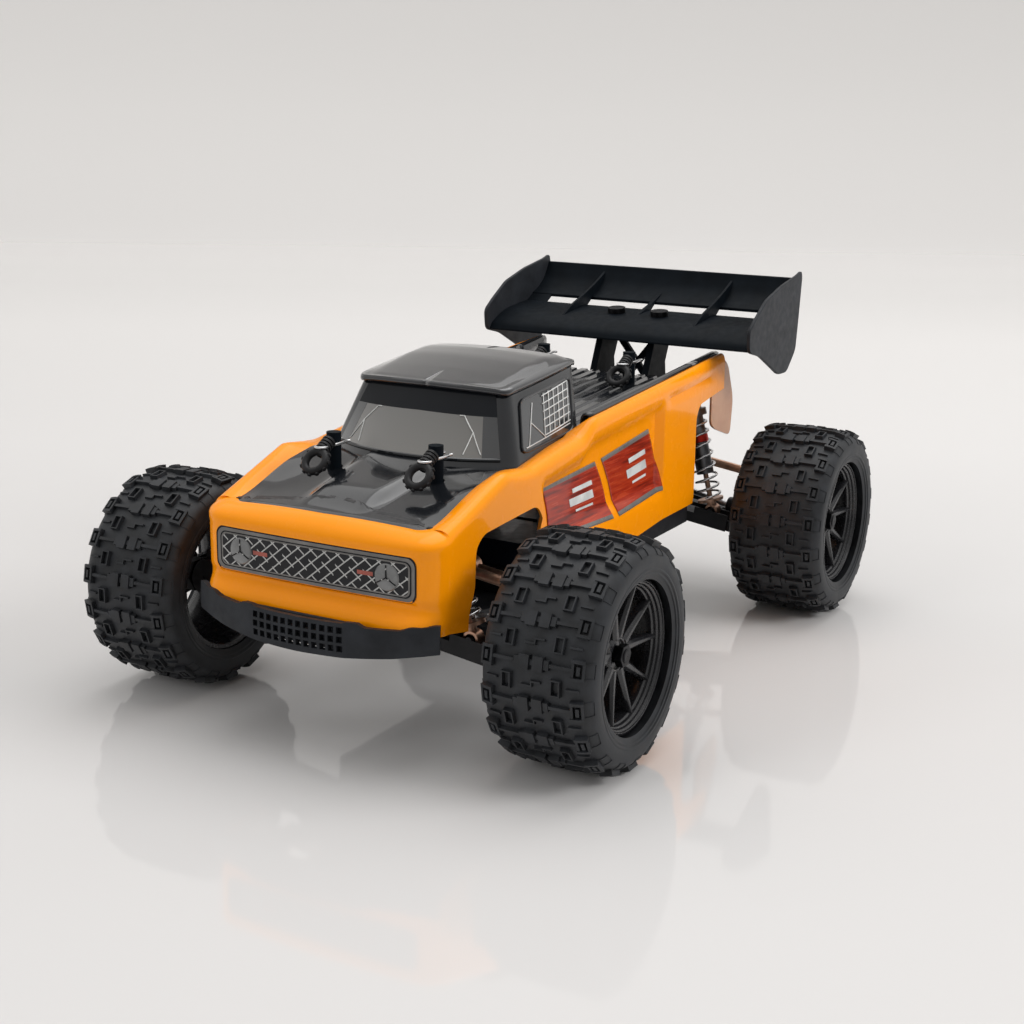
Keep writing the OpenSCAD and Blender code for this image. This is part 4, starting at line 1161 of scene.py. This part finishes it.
def side_lugs(side, half):
    """Blocks on one side of the tread; half is half a pitch."""
    def at(t0, t1, a0, a1, height):
        low, high = sorted((side * t0, side * t1))
        return lug(low, high, a0, a1, height)

    # Bar from the middle blocks out to the shoulder block
    parts = [at(4.2, 6.2, -1.6, 1.6, 1.4), at(6.0, 13.5, -0.7, 0.7, 1.3)]
    # Hollow block beside the middle
    parts += [at(6.6, 9.6, half - 2.7, half - 1.95, 1.5), at(6.6, 9.6, half + 1.95, half + 2.7, 1.5)]
    parts += [at(6.6, 7.35, half - 2.7, half + 2.7, 1.5), at(8.85, 9.6, half - 2.7, half + 2.7, 1.5)]
    # Shoulder block: a bracket round a smaller block, down over the edge of the tread
    parts += [at(12.2, 18.6, -3.3, -2.0, 1.9), at(12.2, 18.6, 2.0, 3.3, 1.9), at(17.2, 18.8, -3.3, 3.3, 1.9)]
    parts += [at(12.4, 13.8, -3.3, 3.3, 1.7), at(14.6, 16.6, -1.5, 1.5, 1.7)]
    # Low bracket on the sidewall beyond it
    parts += [at(19.2, 25.5, -2.9, -2.3, 0.25), at(19.2, 25.5, 2.3, 2.9, 0.25)]
    parts.append(at(25.0, 25.6, -2.9, 2.9, 0.25))
    # Plain shoulder bar between the brackets
    return parts + [at(10.8, 16.4, half - 0.5, half + 0.5, 0.8)]


def tread_pitch():
    """One repeat of the tread, centred on angle 0."""
    half = PITCH * TREAD_R / 2
    parts = [lug(-4.4, -0.5, -2.4, 2.4, 1.85), lug(0.5, 4.4, -2.4, 2.4, 1.85), lug(-0.8, 0.8, -1.0, 1.0, 1.1)]
    # Stepped rib between the middle blocks
    parts += [lug(-3.6, 0.6, half - 1.2, half - 0.3, 0.9), lug(-0.2, 3.6, half + 0.3, half + 1.2, 0.9)]
    parts.append(lug(-0.2, 0.6, half - 1.0, half + 1.0, 0.9))
    return parts + side_lugs(-1, half) + side_lugs(1, half)


def sidewall_rings():
    """Two thin moulded rings on each sidewall."""
    rings = []
    for side in (-1, 1):
        for share, depth in ((0.085, 0.2), (0.055, 0.15)):
            p = carcass(0.5 + side * (0.5 - share))
            section = [(p.x + depth * math.cos(a) * side, p.y + 0.55 * math.sin(a)) for a in turns(8)]
            rings.append(spun(section, 108))
    return rings


def tyre_part():
    """Left tyre about its own middle."""
    outside = [tuple(carcass(s)) for s in steps(0, 1, 44)]
    inside = [(18.5 * (1 - 2 * t), RIM_R - 0.1 + 5.5 * math.sin(math.pi * t)) for t in steps(0, 1, 8)[1:-1]]
    parts = [spun(outside + inside, 108)] + sidewall_rings()
    for i in range(LUGS):
        turn = Matrix.Rotation(-(i + 0.5) * PITCH, 4, "Y")
        parts += [moved(part, turn) for part in tread_pitch()]
    return joined(parts)


def build_tyres():
    tyre = tyre_part()
    for corner in CORNERS:
        made = piece(f"tyre_{corner}_tread", moved(tyre, wheel_place(corner)), f"wheel_{corner}", [RUBBER],
            [f"tyre_{corner}"])
        soften(made, 0.18, 1, 40)


def spoke(angle_in, angle_out):
    """One arm of a forked spoke, from the hub to the rim, with a ridge along its outer side."""
    start = Vector((math.cos(angle_in), math.sin(angle_in))) * 5.6
    end = Vector((math.cos(angle_out), math.sin(angle_out))) * 22.9
    way = (end - start).normalized()
    across = Vector((-way.y, way.x))
    rows = []
    for t in steps(0, 1, 8):
        middle = mix(start, end, t)
        half = mix(1.9, 1.05, ease(t, 0, 0.9))
        ridge = mix(0.8, 0.35, t)
        # The face dips to the hub and rises to the rim
        face = mix(11.6, 13.6, t**1.3)
        root = mix(6.4, 10.4, t)
        edge = face - 1.0
        section = ((-half, root), (-half, edge), (-ridge, face), (ridge, face), (half, edge), (half, root))
        rows.append([(middle.x + across.x * s, y, middle.y + across.y * s) for s, y in section])
    verts, faces = sheet_of(rows, closed=True)
    last = len(rows) * 6 - 6
    return verts, faces + [(0, 1, 2, 3, 4, 5), tuple(range(last + 5, last - 1, -1))]


def rim_part():
    """Left rim about its own middle, outer side towards +Y."""
    # Section of the lip, as (y, how far inside the rim's edge)
    lip = ((-18, 0.2), (-18, 1.8), (-16.4, 2.6), (8.2, 2.9), (9.4, 3.6), (12.6, 3.6), (12.9, 3.0), (14.0, 2.8),
        (14.2, 2.2), (15.2, 2.0), (15.4, 1.4), (16.2, 1.2), (16.0, 0.15))
    hub = [(2.6, 2.7), (2.6, 7.0), (9.4, 7.0), (10.4, 6.6), (11.2, 5.6), (11.2, 4.9), (10.2, 4.7), (10.2, 2.7)]
    # Web in the crotch of each fork, as (radius, across)
    web = [(5.5, -2.2), (5.5, 2.2), (10.5, 2.9), (12.2, 0), (10.5, -2.9)]
    parts = [spun([(y, RIM_R - depth) for y, depth in lip], 96), spun(hub, 48)]
    for turn in turns(5):
        middle = turn + math.pi / 10
        for side in (-1, 1):
            parts.append(spoke(middle + side * 0.2, middle + side * math.pi / 10))
        parts.append(moved(prism(web, "y", 6.8, 10.2), Matrix.Rotation(-middle, 4, "Y")))
    return joined(parts)


def stub_axle(inner):
    """Axle with its wheel nut and hexagon; inner is where the rim's cup begins."""
    outline = [(inner + 5.4, 2.9), (inner + 0.05, 2.95), (inner + 0.05, 3.9), (inner + 0.4, 4.25),
        (inner + 6.0, 4.25), (inner + 6.4, 3.9), (inner + 6.4, 2.45), (14.2, 2.45), (14.5, 2.1), (14.5, 0.05),
        (inner + 5.4, 0.05)]
    parts = [spun(outline, 32)]
    for y0, y1, across in ((-4.0, 0.5, 6.4), (11.3, 14.0, 4.0)):
        parts.append(prism([(across * math.cos(a), across * math.sin(a)) for a in turns(6)], "y", y0, y1))
    return joined(parts)


def build_rims():
    rim = rim_part()
    for corner in CORNERS:
        place = wheel_place(corner)
        body = f"wheel_{corner}"
        made = piece(f"rim_{corner}_spoked", moved(rim, place), body, [RIM], [f"rim_{corner}"])
        soften(made, 0.22, 2, 35)
        inner = min(abs(p.y) for p in node_box(f"rim_{corner}")) - TYRE_MID_Y
        axle = piece(f"stub_axle_{corner}", moved(stub_axle(inner), place), body, [SCREW], [])
        soften(axle, 0.25, 2)


# ---- Wing, bumper, clips and springs ------------------------------------
def blade(lower, upper, half):
    """A wing plane between its lower and upper curve, reaching half of its span to each side."""
    return prism(lower + upper[::-1], "y", -half, half)


def build_wing():
    """Two-plane wing with dividers and a small middle rib."""
    tip = WING_HIGH.y - 1
    top = WING_HIGH.z
    plane = curve_points([(-86.4, 111.6), (-89.5, 114.6), (-100, 118.4), (-112, 119.9), (-121, 120.6)], 6)
    under = curve_points([(-86.4, 110.8), (-90, 112.4), (-101, 116.6), (-112, 118.2), (-121, 119.2)], 6)
    flap = curve_points([(-126, 123.6), (-131.5, 125.8), (-136.4, 129.2), (-139.6, 133.4),
        (-141.4, top - 3.4)], 6)
    flap_under = curve_points([(-126, 122.3), (-132, 123.9), (-137.6, 127.8), (-141, 132.6),
        (-142.8, top - 3.2)], 6)
    parts = [blade(under, plane, tip), blade(flap_under, flap, tip)]
    bridge = [(-120.6, 119.3), (-126.4, 122.4), (-126.4, 123.5), (-120.6, 120.5)]
    fence = curve_points([(-97.5, 117.4), (-106, 121.6), (-121, 126.4), (-132, 130.4), (-141, 134.4)], 5)
    fence += [(-140.6, 131), (-134, 125.2), (-126, 122.6), (-121, 119.5), (-110, 118.6), (-100, 117)]
    for side in (-1, 1):
        parts.append(prism(bridge, "y", *sorted((side * 52, side * tip))))
        parts.append(prism(fence, "y", side * 31.7 - 0.6, side * 31.7 + 0.6))
    rib = [(-108, 118.2), (-108, 119.5), (-121, 122.6), (-133, 126.8), (-134, 125.2), (-126, 122.6),
        (-121, 119.5)]
    parts.append(prism(rib, "y", -0.9, 0.9))
    wing = piece("wing_planes", joined(parts), "root", [WING], ["rear_wing"], smooth=40)
    soften(wing, 0.35, 2, 35)


def build_endplate(side, name):
    """Shaped plate that closes one end of the wing."""
    half, top = WING_HIGH.y, WING_HIGH.z
    outline = rounded([(-84.2, 111), (-83.1, 120), (-90, 124.6), (-101.5, 131.2), (-118.5, 135.6),
        (-137.5, top - 1.4), (-142.4, top), (-143.4, top - 3), (-141.2, 118), (-139.4, 105.4), (-129.5, 96.9),
        (-119.4, 97.2), (-108, 102.6), (-96, 108.2)], 2.6, 5)
    plate = prism(outline, "y", *sorted((side * (half - 1.5), side * half)))
    made = piece(f"wing_endplate_{name}", plate, "root", [BUMPER], ["rear_wing"])
    soften(made, 0.4, 3)


BUMPER_HALF = 48.3
BUMPER_R = 105.0


def bumper_point(y, share):
    """A point of the bumper's front, at a share of its height."""
    away = abs(y)
    foot = along(away, [(0, 37.7), (18, 38.0), (34, 39.4), (BUMPER_HALF, 41.6)])
    notch = 1.3 * ease(away, 22.5, 25.5) * ease(away, 40, 36)
    brim = 49.6 + 0.6 * ease(away, 17, 19) + 0.8 * ease(away, 43, 47) - notch
    z = mix(foot, brim, share)
    belly = 0.5 * ((z - 44.5) / 7) ** 2
    return (BUMPER_FRONT - BUMPER_R + math.sqrt(BUMPER_R**2 - y * y) - belly, y, z)


def build_bumper():
    """Curved bumper with a grid of square holes, top notches and raised tips."""
    across = steps(-BUMPER_HALF, BUMPER_HALF, 72)
    face = sheet_of([[bumper_point(y, share) for y in across] for share in steps(0, 1, 12)])
    made = piece("bumper_face", face, "root", [BUMPER], ["front_bumper"], smooth=45)
    bpy.context.view_layer.update()
    thicken(made, 2.1)
    holes = []
    for row in range(3):
        z = 39.9 + row * 3.1
        for column in range(12):
            y = (column - 5.5) * 3.05
            holes.append(box_part((128, y - 1.02, z), (150, y + 1.02, z + 2.15)))
    cut(made, [joined(holes)])
    soften(made, 0.25, 2, 40)


def build_stays():
    """Stays behind the bumper, and a dark plate of painted shade behind its square holes, so that they show
    black.
    """
    parts = []
    for y in (-21, 21):
        parts.append(box_part((118.5, y - 2.6, 39.2), (141.0, y + 2.6, 44)))
        parts.append(box_part((123, y - 0.7, 43.8), (139, y + 0.7, 47)))
    parts.append(box_part((117.2, -23.6, 39.1), (122, 23.6, 43)))
    parts.append(box_part((114.5, -9, 35.1), (122, 9, 43)))
    # Painted shade: a dark plate just behind the square holes, so that they show black instead of the floor
    parts.append(box_part((139, -20.5, 39.0), (140.4, 20.5, 49.2)))
    soften(piece("bumper_stays_and_shade_plate", joined(parts), "root", [BUMPER], []), 0.5, 2)


def clip_wire():
    """Spring clip: a leg through the post, a round end loop and a wavy leg back along the post's side."""
    loop_r = 1.95
    path = [(-5.4, 0, 0), (0, 0, 0), (5, 0, 0), (8.4, 0.1, 0)]
    for a in steps(0.35, math.pi - 0.3, 9):
        path.append((10 + loop_r * math.sin(a), 1.9 - loop_r * math.cos(a), 0))
    path += [(8.2, 3.6, 0), (5.4, 3.35, 0), (3.2, 3.7, 0), (0, 3.75, 0), (-2.6, 3.55, 0), (-4.0, 3.9, 0)]
    return tube(curve_points(path, 3), 0.55, 10)


def clip_tab():
    """Rubber tab to pull the clip by: a ribbed stem down to a ring with grip lugs round it."""
    def on_ring(a):
        return Vector((4.0 * math.cos(a), 3.9 * math.sin(a), 0))

    ring = [tube([on_ring(a) for a in turns(28)], 1.4, 10, closed=True)]
    for a in steps(-2.2, 2.2, 8):
        out = Vector((math.cos(a), math.sin(a), 0))
        ring.append(tube([on_ring(a) + out * reach for reach in (0.2, 1.0, 1.75)], 0.75, 8))
    droop = Matrix.Translation((13.6, 1.9, -4.4)) @ Matrix.Rotation(math.radians(48), 4, "Y")
    top, foot = Vector((5.4, 1.9, 1.2)), Vector((11.0, 1.9, -1.8))
    stem = [tube([mix(top, foot, t) for t in (0, 0.3, 0.7, 1)], 1.9, 14)]
    half_rib = (foot - top).normalized() * 0.42
    for t in steps(0.05, 0.95, 4):
        middle = mix(top, foot, t)
        stem.append(tube([middle - half_rib, middle + half_rib], 2.5, 14))
    return joined([moved(part, droop) for part in ring] + stem)


def build_clips():
    """A spring clip and its tab for each of the four body posts."""
    for end, (x, y, z) in (("front", FRONT_POSTS), ("rear", REAR_POSTS)):
        for side, name in SIDES:
            place = Matrix.Translation((x, side * y, z))
            for kind, part, finish in (("wire", clip_wire(), CHROME), ("tab", clip_tab(), TAB)):
                piece(f"clip_{kind}_{end}_{name}", moved(part, place), "body_clips", [finish], ["body_clips"],
                    smooth=60)


def coil(top, way, start, end, count):
    """A spring round a line from top along way, between two distances, with its end coils lying closed."""
    across = Vector((1, 0, 0))
    other = way.cross(across)
    path = []
    for t in steps(0, 1, int(count * 20)):
        share = t - 0.028 * math.sin(2 * math.pi * t)
        angle = 2 * math.pi * count * t
        out = across * math.cos(angle) + other * math.sin(angle)
        path.append(top + way * mix(start, end, share) + out * 4.75)
    return tube(path, 0.52, 10)


def build_springs():
    """Coil springs round the dampers, each with a red collar on the damper's body."""
    for corner in CORNERS:
        front = corner[0] == "f"
        side = 1 if corner[1] == "l" else -1
        upper, lower = f"shock_body_{corner}", f"shock_rod_{corner}"
        low, high = node_box(upper)
        # The damper's two eyes
        top = Vector(((low.x + high.x) / 2, side * (32 if front else 33), 76 if front else 88))
        foot = Vector((top.x, side * 45.5, 39.5))
        way = (foot - top).normalized()
        start, end = 8.9, (foot - top).length - 6.1
        part = coil(top, way, start, end, 6.5 if front else 8)
        spring = piece(f"spring_{corner}", part, None, [CHROME], ["springs"], smooth=60)
        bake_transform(spring)
        collar = spun([(0, 3.4), (0, 3.9), (0.3, 4.15), (3.1, 4.15), (3.4, 3.9), (3.4, 3.4)], 32)
        turn = way.to_track_quat("Y", "Z").to_matrix().to_4x4()
        place = Matrix.Translation(top + way * (start + 7.5)) @ turn
        piece(f"damper_collar_{corner}", moved(collar, place), upper, [RED_CAN], [])


CAD_FINISH = {
    "chassis_tub": CHASSIS, "front_gearbox": CHASSIS, "rear_gearbox": CHASSIS, "front_shock_tower": CHASSIS,
    "rear_shock_tower": CHASSIS, "motor": RED_CAN, "servo": CASE, "esc_receiver": CASE, "battery": WRAP,
    "body_posts": WING, "wing_mount": WING, "hinge_pins": COPPER, "screws": SCREW, "front_diff": STEEL,
    "rear_diff": STEEL, "center_shaft": STEEL, "motor_pinion": BRASS, "servo_horn": LINKS,
    "center_link": LINKS,
}
# By the start of the name, for parts that come in pairs or fours
FAMILY_FINISH = {
    "tie_rod": COPPER, "knuckle": LINKS, "lower_arm": LINKS, "upper_link": COPPER, "hub_carrier": LINKS,
    "shock_body": DAMPER, "shock_rod": COPPER, "dogbone": STEEL,
}


def finish_cad_nodes():
    """Gives each CAD node that stays in view its finish."""
    for name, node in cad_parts.items():
        family = next((start for start in FAMILY_FINISH if name.startswith(start)), None)
        finish = CAD_FINISH.get(name) or FAMILY_FINISH.get(family)
        if finish:
            node.data.materials.clear()
            node.data.materials.append(finish)
            node.data.polygons.foreach_set("material_index", [0] * len(node.data.polygons))


build_tyres()
build_rims()
build_wing()
for side, name in SIDES:
    build_endplate(side, name)
build_bumper()
build_stays()
build_clips()
build_springs()
finish_cad_nodes()


# ---- Floor, light and camera --------------------------------------------
def build_stage():
    """A pale glossy floor that curves up into a backdrop."""
    made = Finish("studio_floor")
    # Painted light: the floor's colour grows paler away from the buggy, standing in for the fall of light over
    # the sweep, and the floor grows duller, so that no horizon shows
    away = made.axis("X") * (-1 / 4000) + made.noise(900, 1) * 0.02
    stops = ((0.0, (0.63, 0.618, 0.613)), (0.07, (0.7, 0.686, 0.68)), (0.22, (0.84, 0.822, 0.812)),
        (0.8, (0.95, 0.93, 0.915)))
    made.colour(made.ramp(away, *stops))
    made.roughness(away, 0.05, 0.7)
    made.gloss(specular=0.5)
    # The floor is flat as far as its bend and then turns up with this radius
    bend = 1800
    radius = 6000
    section = [(reach, 0) for reach in steps(2500, -bend, 12)]
    for a in steps(0, math.pi / 2, 48)[1:]:
        section.append((-bend - radius * math.sin(a), radius * (1 - math.cos(a))))
    rows = [[(reach, across, height) for across in steps(-7000, 7000, 6)] for reach, height in section]
    floor = piece("studio_floor", sheet_of(rows), None, [made.material], smooth=80)
    floor.matrix_world = Matrix.Rotation(math.radians(29.3), 4, "Z")


def add_light(name, place, target, size, power, in_reflections=True):
    """A soft rectangular lamp, in metres and watts."""
    lamp = bpy.data.lights.new(name, "AREA")
    lamp.shape = "RECTANGLE"
    lamp.size, lamp.size_y = size
    lamp.energy = power
    obj = bpy.data.objects.new(name, lamp)
    bpy.context.scene.collection.objects.link(obj)
    obj.location = place
    obj.rotation_euler = (Vector(target) - Vector(place)).to_track_quat("-Z", "Y").to_euler()
    obj.visible_glossy = in_reflections


def build_light():
    """One lamp overhead, two at the sides that the camera sees, and a pale world."""
    add_light("overhead", (-0.4, 0, 1.6), (0, 0, 0), (1.2, 1.6), 9)
    add_light("left_box", (-0.4, 1.5, 0.95), (-0.05, 0, 0.08), (0.9, 0.5), 16, False)
    add_light("front_box", (1.5, -0.6, 0.7), (0, 0, 0.05), (0.5, 0.9), 6, False)
    world = bpy.data.worlds.new("studio")
    world.use_nodes = True
    # Brighter overhead and behind the buggy, darker on the camera's side
    tree = world.node_tree
    way = tree.nodes.new("ShaderNodeTexCoord").outputs["Generated"]
    lean = tree.nodes.new("ShaderNodeVectorMath")
    lean.operation = "DOT_PRODUCT"
    lean.inputs[1].default_value = (-0.35, -0.2, 0.42)
    tree.links.new(way, lean.inputs[0])
    strength = Field(tree, lean.outputs["Value"]) + 0.6
    backdrop = tree.nodes["Background"]
    backdrop.inputs[0].default_value = (0.93, 0.92, 0.905, 1)
    tree.links.new(strength.node("MAXIMUM", 0.12).socket, backdrop.inputs[1])
    bpy.context.scene.world = world
    bpy.context.scene.view_settings.view_transform = "Standard"


def build_camera():
    """Stands ahead of the buggy's left front corner, a little above it."""
    lens = bpy.data.cameras.new("photo_angle")
    lens.lens = 57.97
    lens.sensor_width = 36
    lens.clip_start = 0.02
    lens.clip_end = 30
    camera = bpy.data.objects.new("photo_angle", lens)
    bpy.context.scene.collection.objects.link(camera)
    heading, tilt, roll = (math.radians(a) for a in (209.29, -14.33, 0.75))
    forward = Vector((math.cos(tilt) * math.cos(heading), math.cos(tilt) * math.sin(heading), math.sin(tilt)))
    right = Vector((math.sin(heading), -math.cos(heading), 0))
    up = right.cross(forward)
    across = right * math.cos(roll) + up * math.sin(roll)
    upright = up * math.cos(roll) - right * math.sin(roll)
    turn = Matrix((across, upright, -forward)).transposed().to_4x4()
    camera.matrix_world = Matrix.Translation((0.5532, 0.3094, 0.2149)) @ turn
    bpy.context.scene.camera = camera


build_stage()
build_light()
build_camera()
